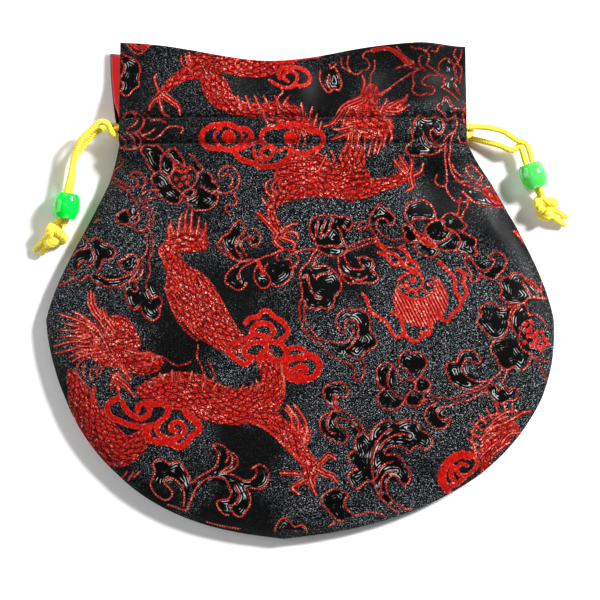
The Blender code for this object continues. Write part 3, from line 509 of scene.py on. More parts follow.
# Smooth dark insides of leaves and petals, as closed outlines.
LEAVES = [
    (124,56,140,66,139,87,127,96,122,92), (149,146,164,152,158,172,147,165),
    (168,151,178,150,185,164,176,166), (192,156,203,170,196,172),
    (162,174,182,196,178,205,160,197,153,180), (166,156,174,166,170,177,162,170),
    (183,197,202,187,219,199,205,211), (208,173,219,189,204,187,200,178),
    (129,209,140,214,130,224,118,219), (84,236,96,258,86,262,74,270,78,250),
    (94,240,117,252,103,262,98,273,96,258), (98,275,128,277,110,287,92,278),
    (122,262,138,256,138,266,130,272), (126,284,140,290,141,306,132,309),
    (150,280,162,300,156,320,143,312,143,296), (220,243,240,222,240,240,248,258,230,256),
    (250,238,260,240,254,247), (240,262,226,280,240,290,246,284,240,274), (260,264,268,286,258,284),
    (268,264,292,262,292,276,272,285), (300,272,314,266,334,271,341,288,333,308,310,309,302,296),
    (310,222,350,219,344,240,346,254,322,253,310,236), (344,254,358,258,372,262,376,280,350,284,341,272),
    (370,218,379,206,394,220,388,225,375,225), (406,206,426,202,435,218,412,220,404,215),
    (402,228,412,224,420,242,406,242), (424,230,440,221,450,232,434,243),
    (442,220,462,222,458,231,446,230), (456,232,475,242,472,256,456,250), (416,246,434,247,432,257),
    (436,246,456,236,454,250), (463,192,480,190,500,205,480,206),
    (414,120,440,120,442,132,430,145,412,142), (406,148,440,148,440,155,410,157),
    (466,168,480,176,474,182), (466,258,492,268,504,260,496,278,476,274),
    (500,280,514,274,538,296,516,304,500,298), (478,308,510,308,504,336,488,337,477,322),
    (512,312,524,306,528,320,518,336,510,326), (492,342,516,338,528,354,518,369,498,364),
    (520,330,530,322,536,350,522,348), (446,364,462,352,478,358,462,364,478,382,452,386),
    (486,388,498,384,516,390,498,402), (400,354,424,356,418,374,402,366),
    (378,366,394,368,390,390,377,380), (380,390,402,400,390,409,378,400),
    (416,378,429,382,424,392,415,388), (407,394,422,394,418,405,406,402),
    (425,408,436,404,448,424,432,426),
    (338,314,366,312,372,336,374,346,350,356,330,350,352,340,357,325,345,322),
    (324,386,344,384,336,394,338,410,326,400), (322,416,336,411,335,424,346,436,338,442,322,432),
    (342,412,366,432,372,428,396,422,418,424,431,440,412,447,388,444,408,472,404,482,386,480,394,504,
     378,496,366,480,350,484,350,472,356,466,350,455,356,440),
    (322,500,336,488,346,494,344,508,354,514,336,518),
    (154,478,158,460,182,464,190,482,186,500,176,480,160,484),
    (192,484,218,468,218,448,236,458,226,476,250,480,268,470,264,486,246,488,250,504,238,514,220,504,
     230,490,212,478,196,492), (277,528,286,518,305,528), (322,76,334,70,340,84,328,92),
    (440,64,452,62,456,78,448,80), (442,84,456,84,458,100,446,92), (437,106,446,100,452,110,444,116),
]


def smooth(value, low, high):
    """0 below low, 1 above high, and an even S between them."""
    share = np.clip((value - low) / (high - low), 0, 1)
    return share * share * (3 - 2 * share)


def lean(y):
    """How far sideways the pouch's middle line lies at a height."""
    heights = [Y_BOTTOM + rise for rise in LEAN_AT] + [Y_LOWER_ROW + 0.0010]
    return np.interp(y, heights, LEAN + (HEADER_SHIFT,))


def half_width(y):
    """Half the pouch's width at a height, down to its widest line."""
    share = (y - Y_LOWER_ROW) / (Y_TOP - Y_LOWER_ROW)
    upper = (NECK_WIDTH + (HEADER_WIDTH - NECK_WIDTH) * share) / 2
    t = (y - Y_WIDEST) / SHOULDER_RISE
    wide, neck = BODY_WIDTH / 2, NECK_WIDTH / 2
    lower = wide + (neck - wide) * t * t * (3 - 2 * t)
    lower += NECK_FLARE * t * t * (1 - t) - SHOULDER_FLARE * t * (1 - t) ** 2
    return np.where(y >= Y_LOWER_ROW, upper, lower)


def bottom_points(angle):
    """Points of the round bottom, by their angle below the widest line's right end."""
    sine, cosine = np.sin(angle), np.cos(angle)
    y = Y_WIDEST - BODY_DEPTH * sine
    y += BOTTOM_POINT * (1 - np.exp(-np.abs(cosine) / BOTTOM_POINT_WIDTH)) * sine**4
    fullness = 1 + BOTTOM_FULLNESS * sine**2 * np.abs(cosine)
    return np.stack([BODY_WIDTH / 2 * cosine * fullness + lean(y), y], axis=-1)


def seam_tree():
    """The sewn edge as points close together, for finding the distance from it."""
    y = np.linspace(Y_LOWER_ROW - 0.003, Y_WIDEST, 300)
    sides = [np.stack([lean(y) + way * half_width(y), y], axis=1) for way in (-1, 1)]
    line = np.vstack(sides + [bottom_points(np.linspace(0, math.pi, 1200))])
    tree = kdtree.KDTree(len(line))
    for k, (x, y) in enumerate(line):
        tree.insert((x, y, 0), k)
    tree.balance()
    return tree


SEAM = seam_tree()


def from_seam(x, y):
    """Distance from points of the cloth to the sewn edge."""
    x, y = np.broadcast_arrays(x, y)
    found = [SEAM.find((a, b, 0))[2] for a, b in zip(x.ravel(), y.ravel())]
    return np.array(found).reshape(x.shape)


def across_share(x, y):
    """How far out a point lies, from 0 in the middle to 1 at the side."""
    y = np.maximum(y, Y_WIDEST)
    return np.minimum(1, np.abs(x - lean(y)) / half_width(y))


def casing_share(y):
    """1 between the two rows of stitches, falling to 0 within a margin outside them."""
    below = smooth(y, Y_LOWER_ROW - CASING_MARGIN, Y_LOWER_ROW)
    return below * (1 - smooth(y, Y_UPPER_ROW, Y_UPPER_ROW + CASING_MARGIN))


def gathers(x, y):
    """The soft puckers that fan out above and below the casing."""
    below = np.maximum(Y_LOWER_ROW - y, 0)
    reach = np.maximum(below, y - Y_UPPER_ROW).clip(0) / PUCKER_REACH
    fan = 1 + PUCKER_FAN * below / PUCKER_REACH
    wave = np.cos(2 * math.pi * (x - HEADER_SHIFT) / (PUCKER_LENGTH * fan))
    return PUCKER * wave * reach * np.exp(1 - reach) * (1 - across_share(x, y) ** 4)


def folds(x, y):
    """How far the soft folds lift or lower the front."""
    lift = 0
    for x0, y0, x1, y1, height, width in FOLDS:
        run_x, run_y = x1 - x0, y1 - y0
        share = ((x - x0) * run_x + (y - y0) * run_y) / (run_x**2 + run_y**2)
        share = np.clip(share, 0, 1)
        off = np.hypot(x - x0 - run_x * share, y - y0 - run_y * share)
        lift = lift + height * np.exp(-((off / width) ** 2))
    return lift


def front_height(x, y):
    """Height of the front panel's outer face, before its stitches draw it in."""
    d = from_seam(x, y)
    body = SEAM_HEIGHT + CLOTH_GAP / 2 + BROCADE
    body = body + EDGE_ROLL * (1 - np.exp(-d / EDGE_ROLL_WIDTH))
    body += LOFT * (1 - np.exp(-d / LOFT_WIDTH))
    out = across_share(x, y) ** 4
    neck = NECK_HEIGHT + (NECK_END_HEIGHT - NECK_HEIGHT) * out
    mouth = MOUTH_HEIGHT + (MOUTH_END_HEIGHT - MOUTH_HEIGHT) * out
    upper = neck + (mouth - neck) * smooth(y, Y_UPPER_ROW, Y_UPPER_ROW + MOUTH_FROM * HEADER_HEIGHT)
    low = Y_LOWER_ROW - NECK_FROM - NECK_FROM_MIDDLE * (1 - out)
    height = body + (upper - body) * smooth(y, low, Y_LOWER_ROW)
    return height + gathers(x, y) + folds(x, y) * smooth(d, 0, FOLD_FADE)


def back_height(x, y):
    """Height of the back panel's outer face: flat on the surface, rising to the seam."""
    sewn = 1 - smooth(y, Y_LOWER_ROW - BACK_NECK_FROM, Y_LOWER_ROW)
    rise = (1 - smooth(from_seam(x, y), 0, BACK_ROLL_WIDTH)) ** 2
    return (SEAM_HEIGHT - CLOTH_GAP / 2 - BROCADE) * rise * sewn


def stitched(x, y):
    """How far the stitches pull the cloth in, a little further at each one."""
    dip = 0
    for row in (Y_LOWER_ROW, Y_UPPER_ROW):
        dip += STITCH_DIP * np.exp(-(((y - row) / STITCH_DIP_WIDTH) ** 2))
        near = np.exp(-(((y - row) / STITCH_PUCKER_REACH) ** 2))
        dip += STITCH_PUCKER * near * np.cos(2 * math.pi * x / STITCH_PITCH)
    return dip


def ripples(x, y):
    """Shallow wrinkles of cloth that lies loose, dying out towards the seam."""
    waves = np.sin(210 * x + 95 * y + 1.1) + np.sin(-130 * x + 240 * y + 0.4)
    waves += 0.6 * np.sin(420 * x + 130 * y + 2 * np.sin(160 * y))
    return RIPPLE * waves * smooth(from_seam(x, y), 0.001, 0.012)


def upright_depth(height, x, y, depth):
    """The vertical distance that makes a depth square to the cloth."""
    step = 0.0004
    slope_x = (height(x + step, y) - height(x - step, y)) / (2 * step)
    slope_y = (height(x, y + step) - height(x, y - step)) / (2 * step)
    return depth * np.sqrt(1 + slope_x**2 + slope_y**2)


def front_face(x, y):
    return front_height(x, y) - stitched(x, y) + ripples(x, y)


def front_lining_face(x, y):
    cover = upright_depth(front_height, x, y, BROCADE + LINING_GAP)
    return front_height(x, y) - cover - CORD_ROOM * casing_share(y)


def back_lining_face(x, y):
    cover = upright_depth(back_height, x, y, BROCADE + LINING_GAP)
    return back_height(x, y) + cover + CORD_ROOM * casing_share(y)


def panel_grid(rows, columns, back=False, inset=0.0):
    """Places (x, y) over a panel, in rows from the mouth down into the round bottom.

    rows is how many there are in the header, the casing, the shoulders and the bottom.
    """
    header, casing, shoulders, bottom = rows
    y = np.concatenate(
        [
            Y_UPPER_ROW + HEADER_HEIGHT * (1 - np.arange(header) / header),
            Y_UPPER_ROW - CASING_HEIGHT * np.arange(casing) / casing,
            Y_LOWER_ROW - SHOULDER_RISE * np.arange(shoulders + 1) / shoulders,
        ]
    )
    depth = np.arange(1, bottom + 1) / bottom
    angle = CORNER_ANGLE * np.sin(math.pi / 2 * depth)
    left = np.vstack([np.stack([lean(y) - half_width(y), y], 1), bottom_points(math.pi - angle)])
    right = np.vstack([np.stack([lean(y) + half_width(y), y], 1), bottom_points(angle)])
    depth = np.concatenate([np.zeros(len(y)), depth])
    u = np.linspace(0, 1, columns + 1)[:, None]
    places = left[:, None] * (1 - u) + right[:, None] * u
    arc = bottom_points(math.pi - CORNER_ANGLE - (math.pi - 2 * CORNER_ANGLE) * u[:, 0])
    sag = arc - (left[-1] * (1 - u) + right[-1] * u)
    places += sag * np.sin(depth * math.pi / 2)[:, None, None] ** 3
    x, y, u = places[..., 0], places[..., 1], u.T
    side_y = left[:, 1:]
    wave = np.maximum(0, (side_y - Y_UPPER_ROW) / HEADER_HEIGHT) ** 2
    above = np.maximum(0, (side_y - Y_LOWER_ROW) / (Y_TOP - Y_LOWER_ROW))
    if back:
        dip = BACK_MOUTH_DROP + BACK_MOUTH_DIP * np.sin(math.pi * u)
        x = x + BACK_HEADER_SHIFT * (1 - (1 - above) ** 2) * (1 - u)
    else:
        dip = MOUTH_DIP * np.exp(-(((x - MOUTH_DIP_AT) / MOUTH_DIP_REACH) ** 2))
        dip = dip + MOUTH_CORNER_DROP * smooth(u, MOUTH_CORNER_FROM, 1)
    y = y - dip * wave
    less = HEADER_INSET_LESS * smooth(y, Y_UPPER_ROW + 0.0005, Y_UPPER_ROW + 0.0060)
    inset = inset * (1 - less)
    y_share = (y - Y_BOTTOM) / (Y_TOP - Y_BOTTOM) - 0.5
    return x - (x - lean(y)) / (BODY_WIDTH / 2) * inset * SIDE_INSET, y - 2 * y_share * inset


def outward(x, y):
    """Directions square to a closed line of points that runs clockwise, away from its inside."""
    along = np.stack([np.roll(x, -1) - np.roll(x, 1), np.roll(y, -1) - np.roll(y, 1)], 1)
    along /= np.linalg.norm(along, axis=1)[:, None]
    return -along[:, 1], along[:, 0]


def cloth(name, x, y, z, hem, faces_up):
    """A sheet over a grid of places. hem lists (out, in depth) for the rings of its turned edge."""
    rows, columns = x.shape
    index = np.arange(rows * columns).reshape(rows, columns)
    rim = np.concatenate([index[0], index[1:, -1], index[-1, -2::-1], index[-2:0:-1, 0]])
    points = np.stack([x.ravel(), y.ravel(), z.ravel()], 1)
    quads = np.stack([index[1:, :-1], index[1:, 1:], index[:-1, 1:], index[:-1, :-1]], -1)
    quads = quads.reshape(-1, 4)
    source, ring = np.arange(len(points)), rim
    side_x, side_y = outward(*points[rim, :2].T)
    for out, depth in hem:
        turned = points[rim] + np.stack([side_x * out, side_y * out, 0 * side_x], 1)
        turned[:, 2] += -depth if faces_up else depth
        new = len(points) + np.arange(len(rim))
        points = np.vstack([points, turned])
        source = np.concatenate([source, rim])
        quads = np.vstack([quads, np.stack([ring, np.roll(ring, -1), np.roll(new, -1), new], 1)])
        ring = new
    if not faces_up:
        quads = quads[:, ::-1]
    mesh = bpy.data.meshes.new(name)
    mesh.from_pydata(points.tolist(), [], quads.tolist())
    mesh.shade_smooth()
    obj = bpy.data.objects.new(name, mesh)
    bpy.context.scene.collection.objects.link(obj)
    return obj, source


def keep(obj, name, values):
    """Stores a number for each point of a mesh, for its material."""
    layer = obj.data.attributes.new(name, "FLOAT", "POINT")
    layer.data.foreach_set("value", np.ascontiguousarray(values, dtype=np.float32))


def on_curve(before, a, b, after, t):
    """A point of a rounded line, a share t of the way from a to b."""
    bend = (b - before) * t + (2 * before - 5 * a + 4 * b - after) * t * t
    return a + (bend + (3 * a - before - 3 * b + after) * t**3) / 2


def rounded(points, per_span):
    """A line through the given points with rounded corners."""
    if len(points) < 3:
        return points
    ends = np.vstack([2 * points[0] - points[1], points, 2 * points[-1] - points[-2]])
    t = np.arange(per_span)[:, None] / per_span
    spans = zip(ends, ends[1:], ends[2:], ends[3:])
    return np.vstack([on_curve(*span, t) for span in spans] + [points[-1:]])


class Weave:
    """What the loom has drawn at each point of a cloth, in pattern steps.

    red is how far inside the red figures a point lies, along and across are its place in the
    thread or body that covers it, and kind says which of KINDS that is.
    """

    KINDS = ("outline", "cloud", "tongue", "body")

    def __init__(self, x, y):
        self.x = (x.ravel() - PATTERN_CORNER[0]) / PATTERN_STEP
        self.y = (PATTERN_CORNER[1] - y.ravel()) / PATTERN_STEP
        self.red = np.full(self.x.shape, UNWOVEN)
        self.along, self.across, self.kind, self.leaf = np.zeros((4, self.x.size))

    def near(self, path, reach):
        low, high = path.min(axis=0) - reach, path.max(axis=0) + reach
        inside = (self.x > low[0]) & (self.x < high[0]) & (self.y > low[1]) & (self.y < high[1])
        return np.flatnonzero(inside)

    def draw(self, path, widths, kind):
        """Weaves one line of red, as wide as given at each of its points, or takes it out as a gap."""
        spots = self.near(path, widths.max() + 3)
        if not spots.size:
            return
        x, y = self.x[spots], self.y[spots]
        best = np.full((3, spots.size), UNWOVEN)
        start = 0.0
        for a, b, wide, end_wide in zip(path, path[1:], widths, widths[1:]):
            run = b - a
            length = max(1e-6, float(np.hypot(*run)))
            share = np.clip(((x - a[0]) * run[0] + (y - a[1]) * run[1]) / length**2, 0, 1)
            off_x, off_y = x - a[0] - run[0] * share, y - a[1] - run[1] * share
            inside = (wide + (end_wide - wide) * share) / 2 - np.hypot(off_x, off_y)
            side = (run[0] * off_y - run[1] * off_x) / length
            better = inside > best[0]
            best[:, better] = np.stack([inside, start + share * length, side])[:, better]
            start += length
        if kind == "gap":
            self.red[spots] = np.minimum(self.red[spots], -best[0])
            return
        over = best[0] > self.red[spots]
        if kind != "body":
            over |= best[0] > 0.2
        spots, best = spots[over], best[:, over]
        self.red[spots] = np.maximum(self.red[spots], best[0])
        self.along[spots], self.across[spots] = best[1], best[2]
        self.kind[spots] = self.KINDS.index(kind)

    def fill(self, corners):
        """Marks the inside of a closed outline as a smooth dark leaf."""
        spots = self.near(corners, 0)
        x, y = self.x[spots], self.y[spots]
        inside = np.zeros(spots.size, bool)
        for (ax, ay), (bx, by) in zip(corners, np.roll(corners, -1, axis=0)):
            if ay != by:
                crossed = (ay > y) != (by > y)
                inside ^= crossed & (x < (bx - ax) * (y - ay) / (by - ay) + ax)
        self.leaf[spots[inside]] = 1

    def stroke(self, numbers, wide, end_wide, kind, per_span=4):
        """Draws a rounded line through (x, y, x, y, ...)."""
        path = rounded(np.reshape(numbers, (-1, 2)).astype(float), per_span)
        self.draw(path, np.linspace(wide, end_wide, len(path)), kind)

    def weave_all(self):
        for numbers in BODIES:
            path = rounded(np.reshape(numbers, (-1, 3)).astype(float), 4)
            self.draw(path[:, :2], path[:, 2], "body")
        for wide, end_wide, *numbers in TONGUES:
            self.stroke(numbers, wide, end_wide, "tongue")
        for (wide, *numbers), kind in ((PEARL, "tongue"), (PEARL_GAP, "gap")):
            self.stroke(numbers, wide, wide, kind)
        for wide, *numbers in CLOUDS:
            self.stroke(numbers, CLOUD_SHARE * wide, CLOUD_SHARE * wide, "cloud")
        for numbers in OUTLINES:
            self.stroke(numbers, OUTLINE_WIDTH, OUTLINE_WIDTH, "outline", 3)
        for x, y in np.reshape(KNOBS, (-1, 2)).astype(float):
            self.stroke((x - 0.3, y, x + 0.3, y), KNOB_WIDTH, KNOB_WIDTH, "cloud")
        for numbers in LEAVES:
            self.fill(rounded(np.reshape(numbers + numbers[:2], (-1, 2)).astype(float), 3))


class Finish:
    """A material, built node by node on one Principled BSDF."""

    def __init__(self, name):
        self.material = bpy.data.materials.new(name)
        self.material.use_nodes = True
        self.tree = self.material.node_tree
        self.shader = self.tree.nodes["Principled BSDF"]

    def node(self, kind, settings=None, **inputs):
        node = self.tree.nodes.new(kind)
        for name, value in (settings or {}).items():
            setattr(node, name, value)
        for name, value in inputs.items():
            self.set(node.inputs[name.replace("_", " ")], value)
        return node

    def set(self, socket, value):
        """Links a socket to another one, or gives it a value."""
        if isinstance(value, bpy.types.NodeSocket):
            self.tree.links.new(value, socket)
        else:
            socket.default_value = value

    def surface(self, **inputs):
        for name, value in inputs.items():
            self.set(self.shader.inputs[name.replace("_", " ")], value)

    def math(self, operation, *values):
        node = self.tree.nodes.new("ShaderNodeMath")
        node.operation = operation
        for socket, value in zip(node.inputs, values):
            self.set(socket, value)
        return node.outputs[0]

    def times(self, *values):
        return self.math("MULTIPLY", *values)

    def plus(self, *values):
        return self.math("ADD", *values)

    def minus(self, *values):
        return self.math("SUBTRACT", *values)

    def ramp(self, value, low, high, start=0.0, end=1.0):
        """An even rise from start to end as the value goes from low to high."""
        node = self.node(
            "ShaderNodeMapRange",
            {"interpolation_type": "SMOOTHSTEP"},
            **{"Value": value, "From_Min": low, "From_Max": high, "To_Min": start, "To_Max": end},
        )
        return node.outputs["Result"]

    def mix(self, share, first, second):
        """One colour turning into another."""
        node = self.tree.nodes.new("ShaderNodeMix")
        node.data_type = "RGBA"
        for socket, value in ((0, share), (6, first), (7, second)):
            self.set(node.inputs[socket], (*value, 1) if isinstance(value, tuple) else value)
        return node.outputs[2]

    def stored(self, name):
        return self.node("ShaderNodeAttribute", {"attribute_name": name}).outputs["Fac"]

    def places(self):
        return self.node("ShaderNodeTexCoord").outputs["Object"]

    def noise(self, scale, detail=2.0, roughness=0.5):
        inputs = {"Vector": self.places(), "Scale": scale, "Detail": detail, "Roughness": roughness}
        return self.node("ShaderNodeTexNoise", **inputs).outputs["Fac"]

    def bands(self, scale, turn, distortion=0.0):
        """Straight stripes across the cloth, turned by an angle in degrees."""
        turned = self.node("ShaderNodeMapping", Vector=self.places())
        turned.inputs["Rotation"].default_value = (0, 0, math.radians(turn))
        inputs = {"Vector": turned.outputs[0], "Scale": scale, "Distortion": distortion}
        node = self.node("ShaderNodeTexWave", Detail=1.0, Detail_Scale=2.0, **inputs)
        return node.outputs["Fac"]

    def bump(self, height, distance, strength=1.0, under=None):
        node = self.node("ShaderNodeBump", Height=height, Distance=distance, Strength=strength)
        if under:
            self.set(node.inputs["Normal"], under)
        return node.outputs[0]


def brocade_finish():
    """Black satin ground with raised red figures and smooth dark leaves, with painted glints, highlights
    and shade.
    """
    f = Finish("brocade")
    red, along, across = f.stored("red"), f.stored("along"), f.stored("across")
    kind, leaf = f.stored("kind"), f.stored("leaf")  # kind counts along Weave.KINDS
    fray = f.times(f.minus(f.noise(2400, 1.0), 0.5), FRAY)
    edge = f.plus(red, fray)
    inside = f.ramp(edge, -0.25, 0.35)
    is_body = f.math("GREATER_THAN", kind, 2.5)
    is_outline = f.math("LESS_THAN", kind, 0.5)
    is_cloud = f.times(f.math("GREATER_THAN", kind, 0.5), f.math("LESS_THAN", kind, 1.5))

    # Outline threads are rows of beads, each with a painted highlight along its middle.
    wave = f.math("SINE", f.times(along, 2 * math.pi / BEAD_STEP))
    dashes = f.math("MAXIMUM", f.ramp(wave, -1.0, -0.2, 0.5, 1.0), f.minus(1, is_outline))
    beads = f.times(f.ramp(wave, -0.1, 0.9, 0.0, 0.95), is_outline)
    beads = f.times(beads, f.ramp(red, 0.3, 0.95))

    # Bodies have rows of scales with grooves round them, and tongues have strands with a painted
    # highlight on each strand's crest.
    row = f.math("DIVIDE", along, SCALE_LENGTH)
    odd = f.times(f.math("MODULO", f.math("FLOOR", row), 2.0), 0.5)
    down = f.minus(f.math("FRACT", row), 0.12)
    column = f.plus(f.math("DIVIDE", across, SCALE_WIDTH), odd)
    side = f.times(f.minus(f.math("FRACT", column), 0.5), 1.9)
    reach = f.math("SQRT", f.plus(f.math("POWER", down, 2.0), f.math("POWER", side, 2.0)))
    wobble = f.times(f.minus(f.noise(800, 2.0), 0.5), 1.3)
    reach = f.plus(reach, wobble)
    groove = f.ramp(f.math("ABSOLUTE", f.minus(reach, 0.70)), 0.03, 0.34)
    figure = f.plus(f.times(f.minus(groove, 1), is_body), 1)
    is_tongue = f.times(f.math("GREATER_THAN", kind, 1.5), f.minus(1, is_body))
    strand = f.math("COSINE", f.times(across, 2 * math.pi / STRAND_STEP))
    parting = f.times(is_tongue, f.ramp(strand, -0.9, 0.1, 0.9, 0.0))
    painted_crest_highlight = f.times(is_tongue, f.ramp(strand, 0.5, 1.0, 0.0, 0.28))
    figure = f.times(figure, f.minus(1, parting))
    threads = f.ramp(f.bands(420, 20, 3.0), 0.1, 0.8, 0.78, 1.0)
    relief = f.times(figure, threads)

    # The red threads: deep red in the scales' grooves and the partings between strands, partly the
    # weave's own pattern and partly painted shade, and bright red on the raised parts, which also carries
    # the painted highlights.
    shade = f.noise(1500, 2.0, roughness=0.7)
    deep = f.mix(f.ramp(shade, 0.35, 0.7), (0.03, 0.0005, 0.0005), (0.11, 0.001, 0.001))
    bright = f.mix(f.ramp(shade, 0.30, 0.66), (0.18, 0.002, 0.001), (0.50, 0.007, 0.004))
    # Painted highlights: pale spots on the raised threads, along the clouds' rims, on the bead crowns and
    # on the strand crests.
    painted_shine = f.ramp(f.noise(1900, 1.0, roughness=0.8), 0.54, 0.67)
    rim = f.minus(1, f.times(is_cloud, f.ramp(red, 0.4, 1.6)))
    painted_shine = f.times(painted_shine, f.times(rim, f.ramp(f.noise(90, 1.0), 0.35, 0.6, 0.25)))
    painted_shine = f.math("MAXIMUM", painted_shine, f.math("MAXIMUM", beads, painted_crest_highlight))
    painted_shine = f.times(painted_shine, f.ramp(f.noise(600, 1.0), 0.4, 0.6, 0.25, 1.0))
    bright = f.mix(painted_shine, bright, (1.0, 0.46, 0.34))
    red_thread = f.mix(relief, deep, bright)
    # Painted shade: outline threads darken towards their edges.
    side_thread = f.times(is_outline, f.ramp(red, 0.2, 0.9, 0.55, 0.0))
    red_thread = f.mix(side_thread, red_thread, (0.14, 0.001, 0.001))

    # Painted shade: the reds darken over the header's right half, as if it were turned from the light,
    # and the painted glints thin out there and towards the neck.
    place = f.node("ShaderNodeSeparateXYZ", Vector=f.places()).outputs
    painted_header_shade = f.times(f.ramp(place["X"], 0.008, 0.022), f.ramp(place["Y"], 0.050, 0.054))
    red_thread = f.mix(f.times(painted_header_shade, 0.6), red_thread, (0.10, 0.003, 0.002))

    # Black satin with painted glints, the highlights of its floats, in painted patches of sheen, and
    # leaves with pale threads along their edges.
    speckle = f.noise(2600, 3.0, roughness=0.9)
    painted_sheen_patches = f.ramp(f.noise(38, 2.0), 0.36, 0.60, 0.05, 1.15)
    # Painted shade on the sheen: fewer painted glints over the header's right half and from the shoulders
    # up.
    painted_sheen_shade = f.math("MAXIMUM", painted_header_shade, f.ramp(place["Y"], 0.020, 0.050, 0.0, 0.55))
    painted_sheen_patches = f.times(painted_sheen_patches, f.minus(1.1, painted_sheen_shade))
    painted_glint = f.times(f.ramp(speckle, 0.55, 0.74), painted_sheen_patches)
    ground = f.mix(painted_glint, (0.0015, 0.0015, 0.0017), (0.62, 0.68, 0.74))
    shift = f.times(f.noise(150, 1.0), 2.5)
    floats = f.math("SINE", f.times(f.plus(red, shift), 2 * math.pi / FLOAT_STEP))
    floats = f.times(f.ramp(floats, 0.5, 1.0), f.ramp(f.noise(420, 2.0), 0.50, 0.66))
    floats = f.times(floats, f.ramp(red, -9.5, -4.5))
    leaf_colour = f.mix(floats, (0.001, 0.001, 0.001), (0.46, 0.46, 0.45))
    ground = f.mix(leaf, ground, leaf_colour)

    cover = f.times(inside, f.plus(f.times(dashes, 0.6), 0.4))
    f.surface(Base_Color=f.mix(cover, ground, red_thread))
    f.surface(Roughness=f.ramp(cover, 0, 1, 0.44, 0.48))
    f.surface(Specular_IOR_Level=0.06)
    raised = f.times(cover, f.plus(f.times(relief, 0.6), 0.4))
    fine = f.bump(speckle, SPECKLE_HEIGHT, 0.5)
    f.surface(Normal=f.bump(raised, THREAD_HEIGHT, 1.0, fine))
    return f.material


def lining_finish():
    """Red satin with a fine rib."""
    f = Finish("red_lining")
    rib = f.bands(520, 90, 0.4)
    # Painted shade of soft folds: the red is a little darker in random patches.
    folds = f.ramp(f.noise(45, 2.0), 0.3, 0.7)
    colour = f.mix(folds, (0.92, 0.012, 0.016), (1.0, 0.022, 0.026))
    f.surface(Base_Color=f.mix(f.ramp(rib, 0.2, 0.9, 0.0, 0.25), colour, (0.62, 0.004, 0.006)))
    f.surface(Roughness=f.ramp(f.noise(800, 2.0), 0.3, 0.7, 0.34, 0.46))
    f.surface(Normal=f.bump(rib, RIB_HEIGHT, 0.6))
    return f.material


def cord_finish():
    """Bright yellow twisted cord with fine fibres, and painted shade in the grooves between its plies."""
    f = Finish("yellow_cord")
    ply, turn = f.stored("ply"), f.stored("turn")
    fibres = f.math("SINE", f.times(turn, 2 * math.pi * 16))
    hair = f.noise(5200, 2.0)
    # Painted shade: darker, more orange yellow in the grooves between the plies.
    shade = f.ramp(ply, 0.15, 0.85)
    colour = f.mix(shade, (0.84, 0.47, 0.006), (1.0, 0.90, 0.04))
    colour = f.mix(f.ramp(hair, 0.45, 0.8, 0.0, 0.35), colour, (1.0, 0.93, 0.16))
    f.surface(Base_Color=colour, Roughness=0.52)
    f.surface(Sheen_Weight=0.25, Sheen_Roughness=0.4)
    height = f.plus(f.times(fibres, 0.3), hair)
    f.surface(Normal=f.bump(height, FIBRE_HEIGHT, 0.7))
    return f.material


def bead_finish(name, colour, lighter, clear):
    """Moulded plastic, solid or clear, with faint swirls and small scuffs."""
    f = Finish(name)
    swirl = f.ramp(f.noise(260, 3.0), 0.35, 0.7)
    f.surface(Base_Color=f.mix(swirl, colour, lighter))
    f.surface(Roughness=f.ramp(f.noise(1500, 3.0), 0.4, 0.75, 0.06, 0.2))
    f.surface(Coat_Weight=0.4, Coat_Roughness=0.05, IOR=1.49)
    f.surface(Transmission_Weight=clear)
    f.surface(Subsurface_Weight=0.25 * (1 - clear), Subsurface_Scale=0.002)
    f.surface(Normal=f.bump(f.noise(420, 2.0), SCUFF_HEIGHT, 0.4))
    return f.material


def floor_finish():
    """White paper with a faint grain."""
    f = Finish("white_paper")
    grain = f.ramp(f.noise(350, 3.0), 0.3, 0.7)
    f.surface(Base_Color=f.mix(grain, (0.90, 0.90, 0.90), (0.92, 0.92, 0.92)), Roughness=0.9)
    f.surface(Specular_IOR_Level=0.1)
    return f.material


def smooth_line(points, spacing):
    """A rounded line through the points, and where in it each of them is."""
    points = [Vector(p) for p in points]
    ends = [2 * points[0] - points[1]] + points + [2 * points[-1] - points[-2]]
    line, marks = [points[0]], [0]
    for before, a, b, after in zip(ends, ends[1:], ends[2:], ends[3:]):
        steps = max(1, round((b - a).length / spacing))
        line += [on_curve(before, a, b, after, k / steps) for k in range(1, steps + 1)]
        marks.append(len(line) - 1)
    return line, marks


def bead_place(side):
    """(middle of the bead, direction of its hole towards the pouch)."""
    middle = Vector((*BEAD_AT[side], BEAD_WIDTH / 2 + SURFACE_GAP))
    return middle, Vector((*BEAD_WAY[side], 0)).normalized()


def knot_place(side):
    """(middle of the knot, direction from it to the bead)."""
    middle = Vector((*KNOT_AT[side], KNOT_WIDTH / 2 + 2 * SURFACE_GAP))
    return middle, (bead_place(side)[0] - middle).normalized()


def strand_at_knot(side, turn):
    """The end of a strand, just short of the knot."""
    knot, way = knot_place(side)
    level = Vector((0, 0, 1)).cross(way).normalized()
    angle = math.radians(turn)
    offset = level * math.cos(angle) + way.cross(level) * math.sin(angle)
    return knot + way * (KNOT_LENGTH / 2 + TAIL_GAP) + offset * STRAND_SPACING / 2


def strand_in_bead(side, along, turn):
    """A point of a strand by the bead. turn is the strands' twist about the hole, in degrees."""
    middle, way = bead_place(side)
    level = Vector((0, 0, 1)).cross(way)
    angle = math.radians(turn)
    offset = level * math.cos(angle) + Vector((0, 0, 1)) * math.sin(angle)
    return middle + way * along + offset * STRAND_SPACING / 2


def lane(way, y, front):
    """Points of a cord through one casing, from the side where it enters to the other."""
    points = []
    for share in (0.96, 0.82, 0.62, 0.4, 0.2, 0, -0.2, -0.4, -0.62, -0.82, -0.97):
        x = lean(y) + way * NECK_WIDTH / 2 * share
        points.append((x, y, lane_height(x, y, front)))
    return points


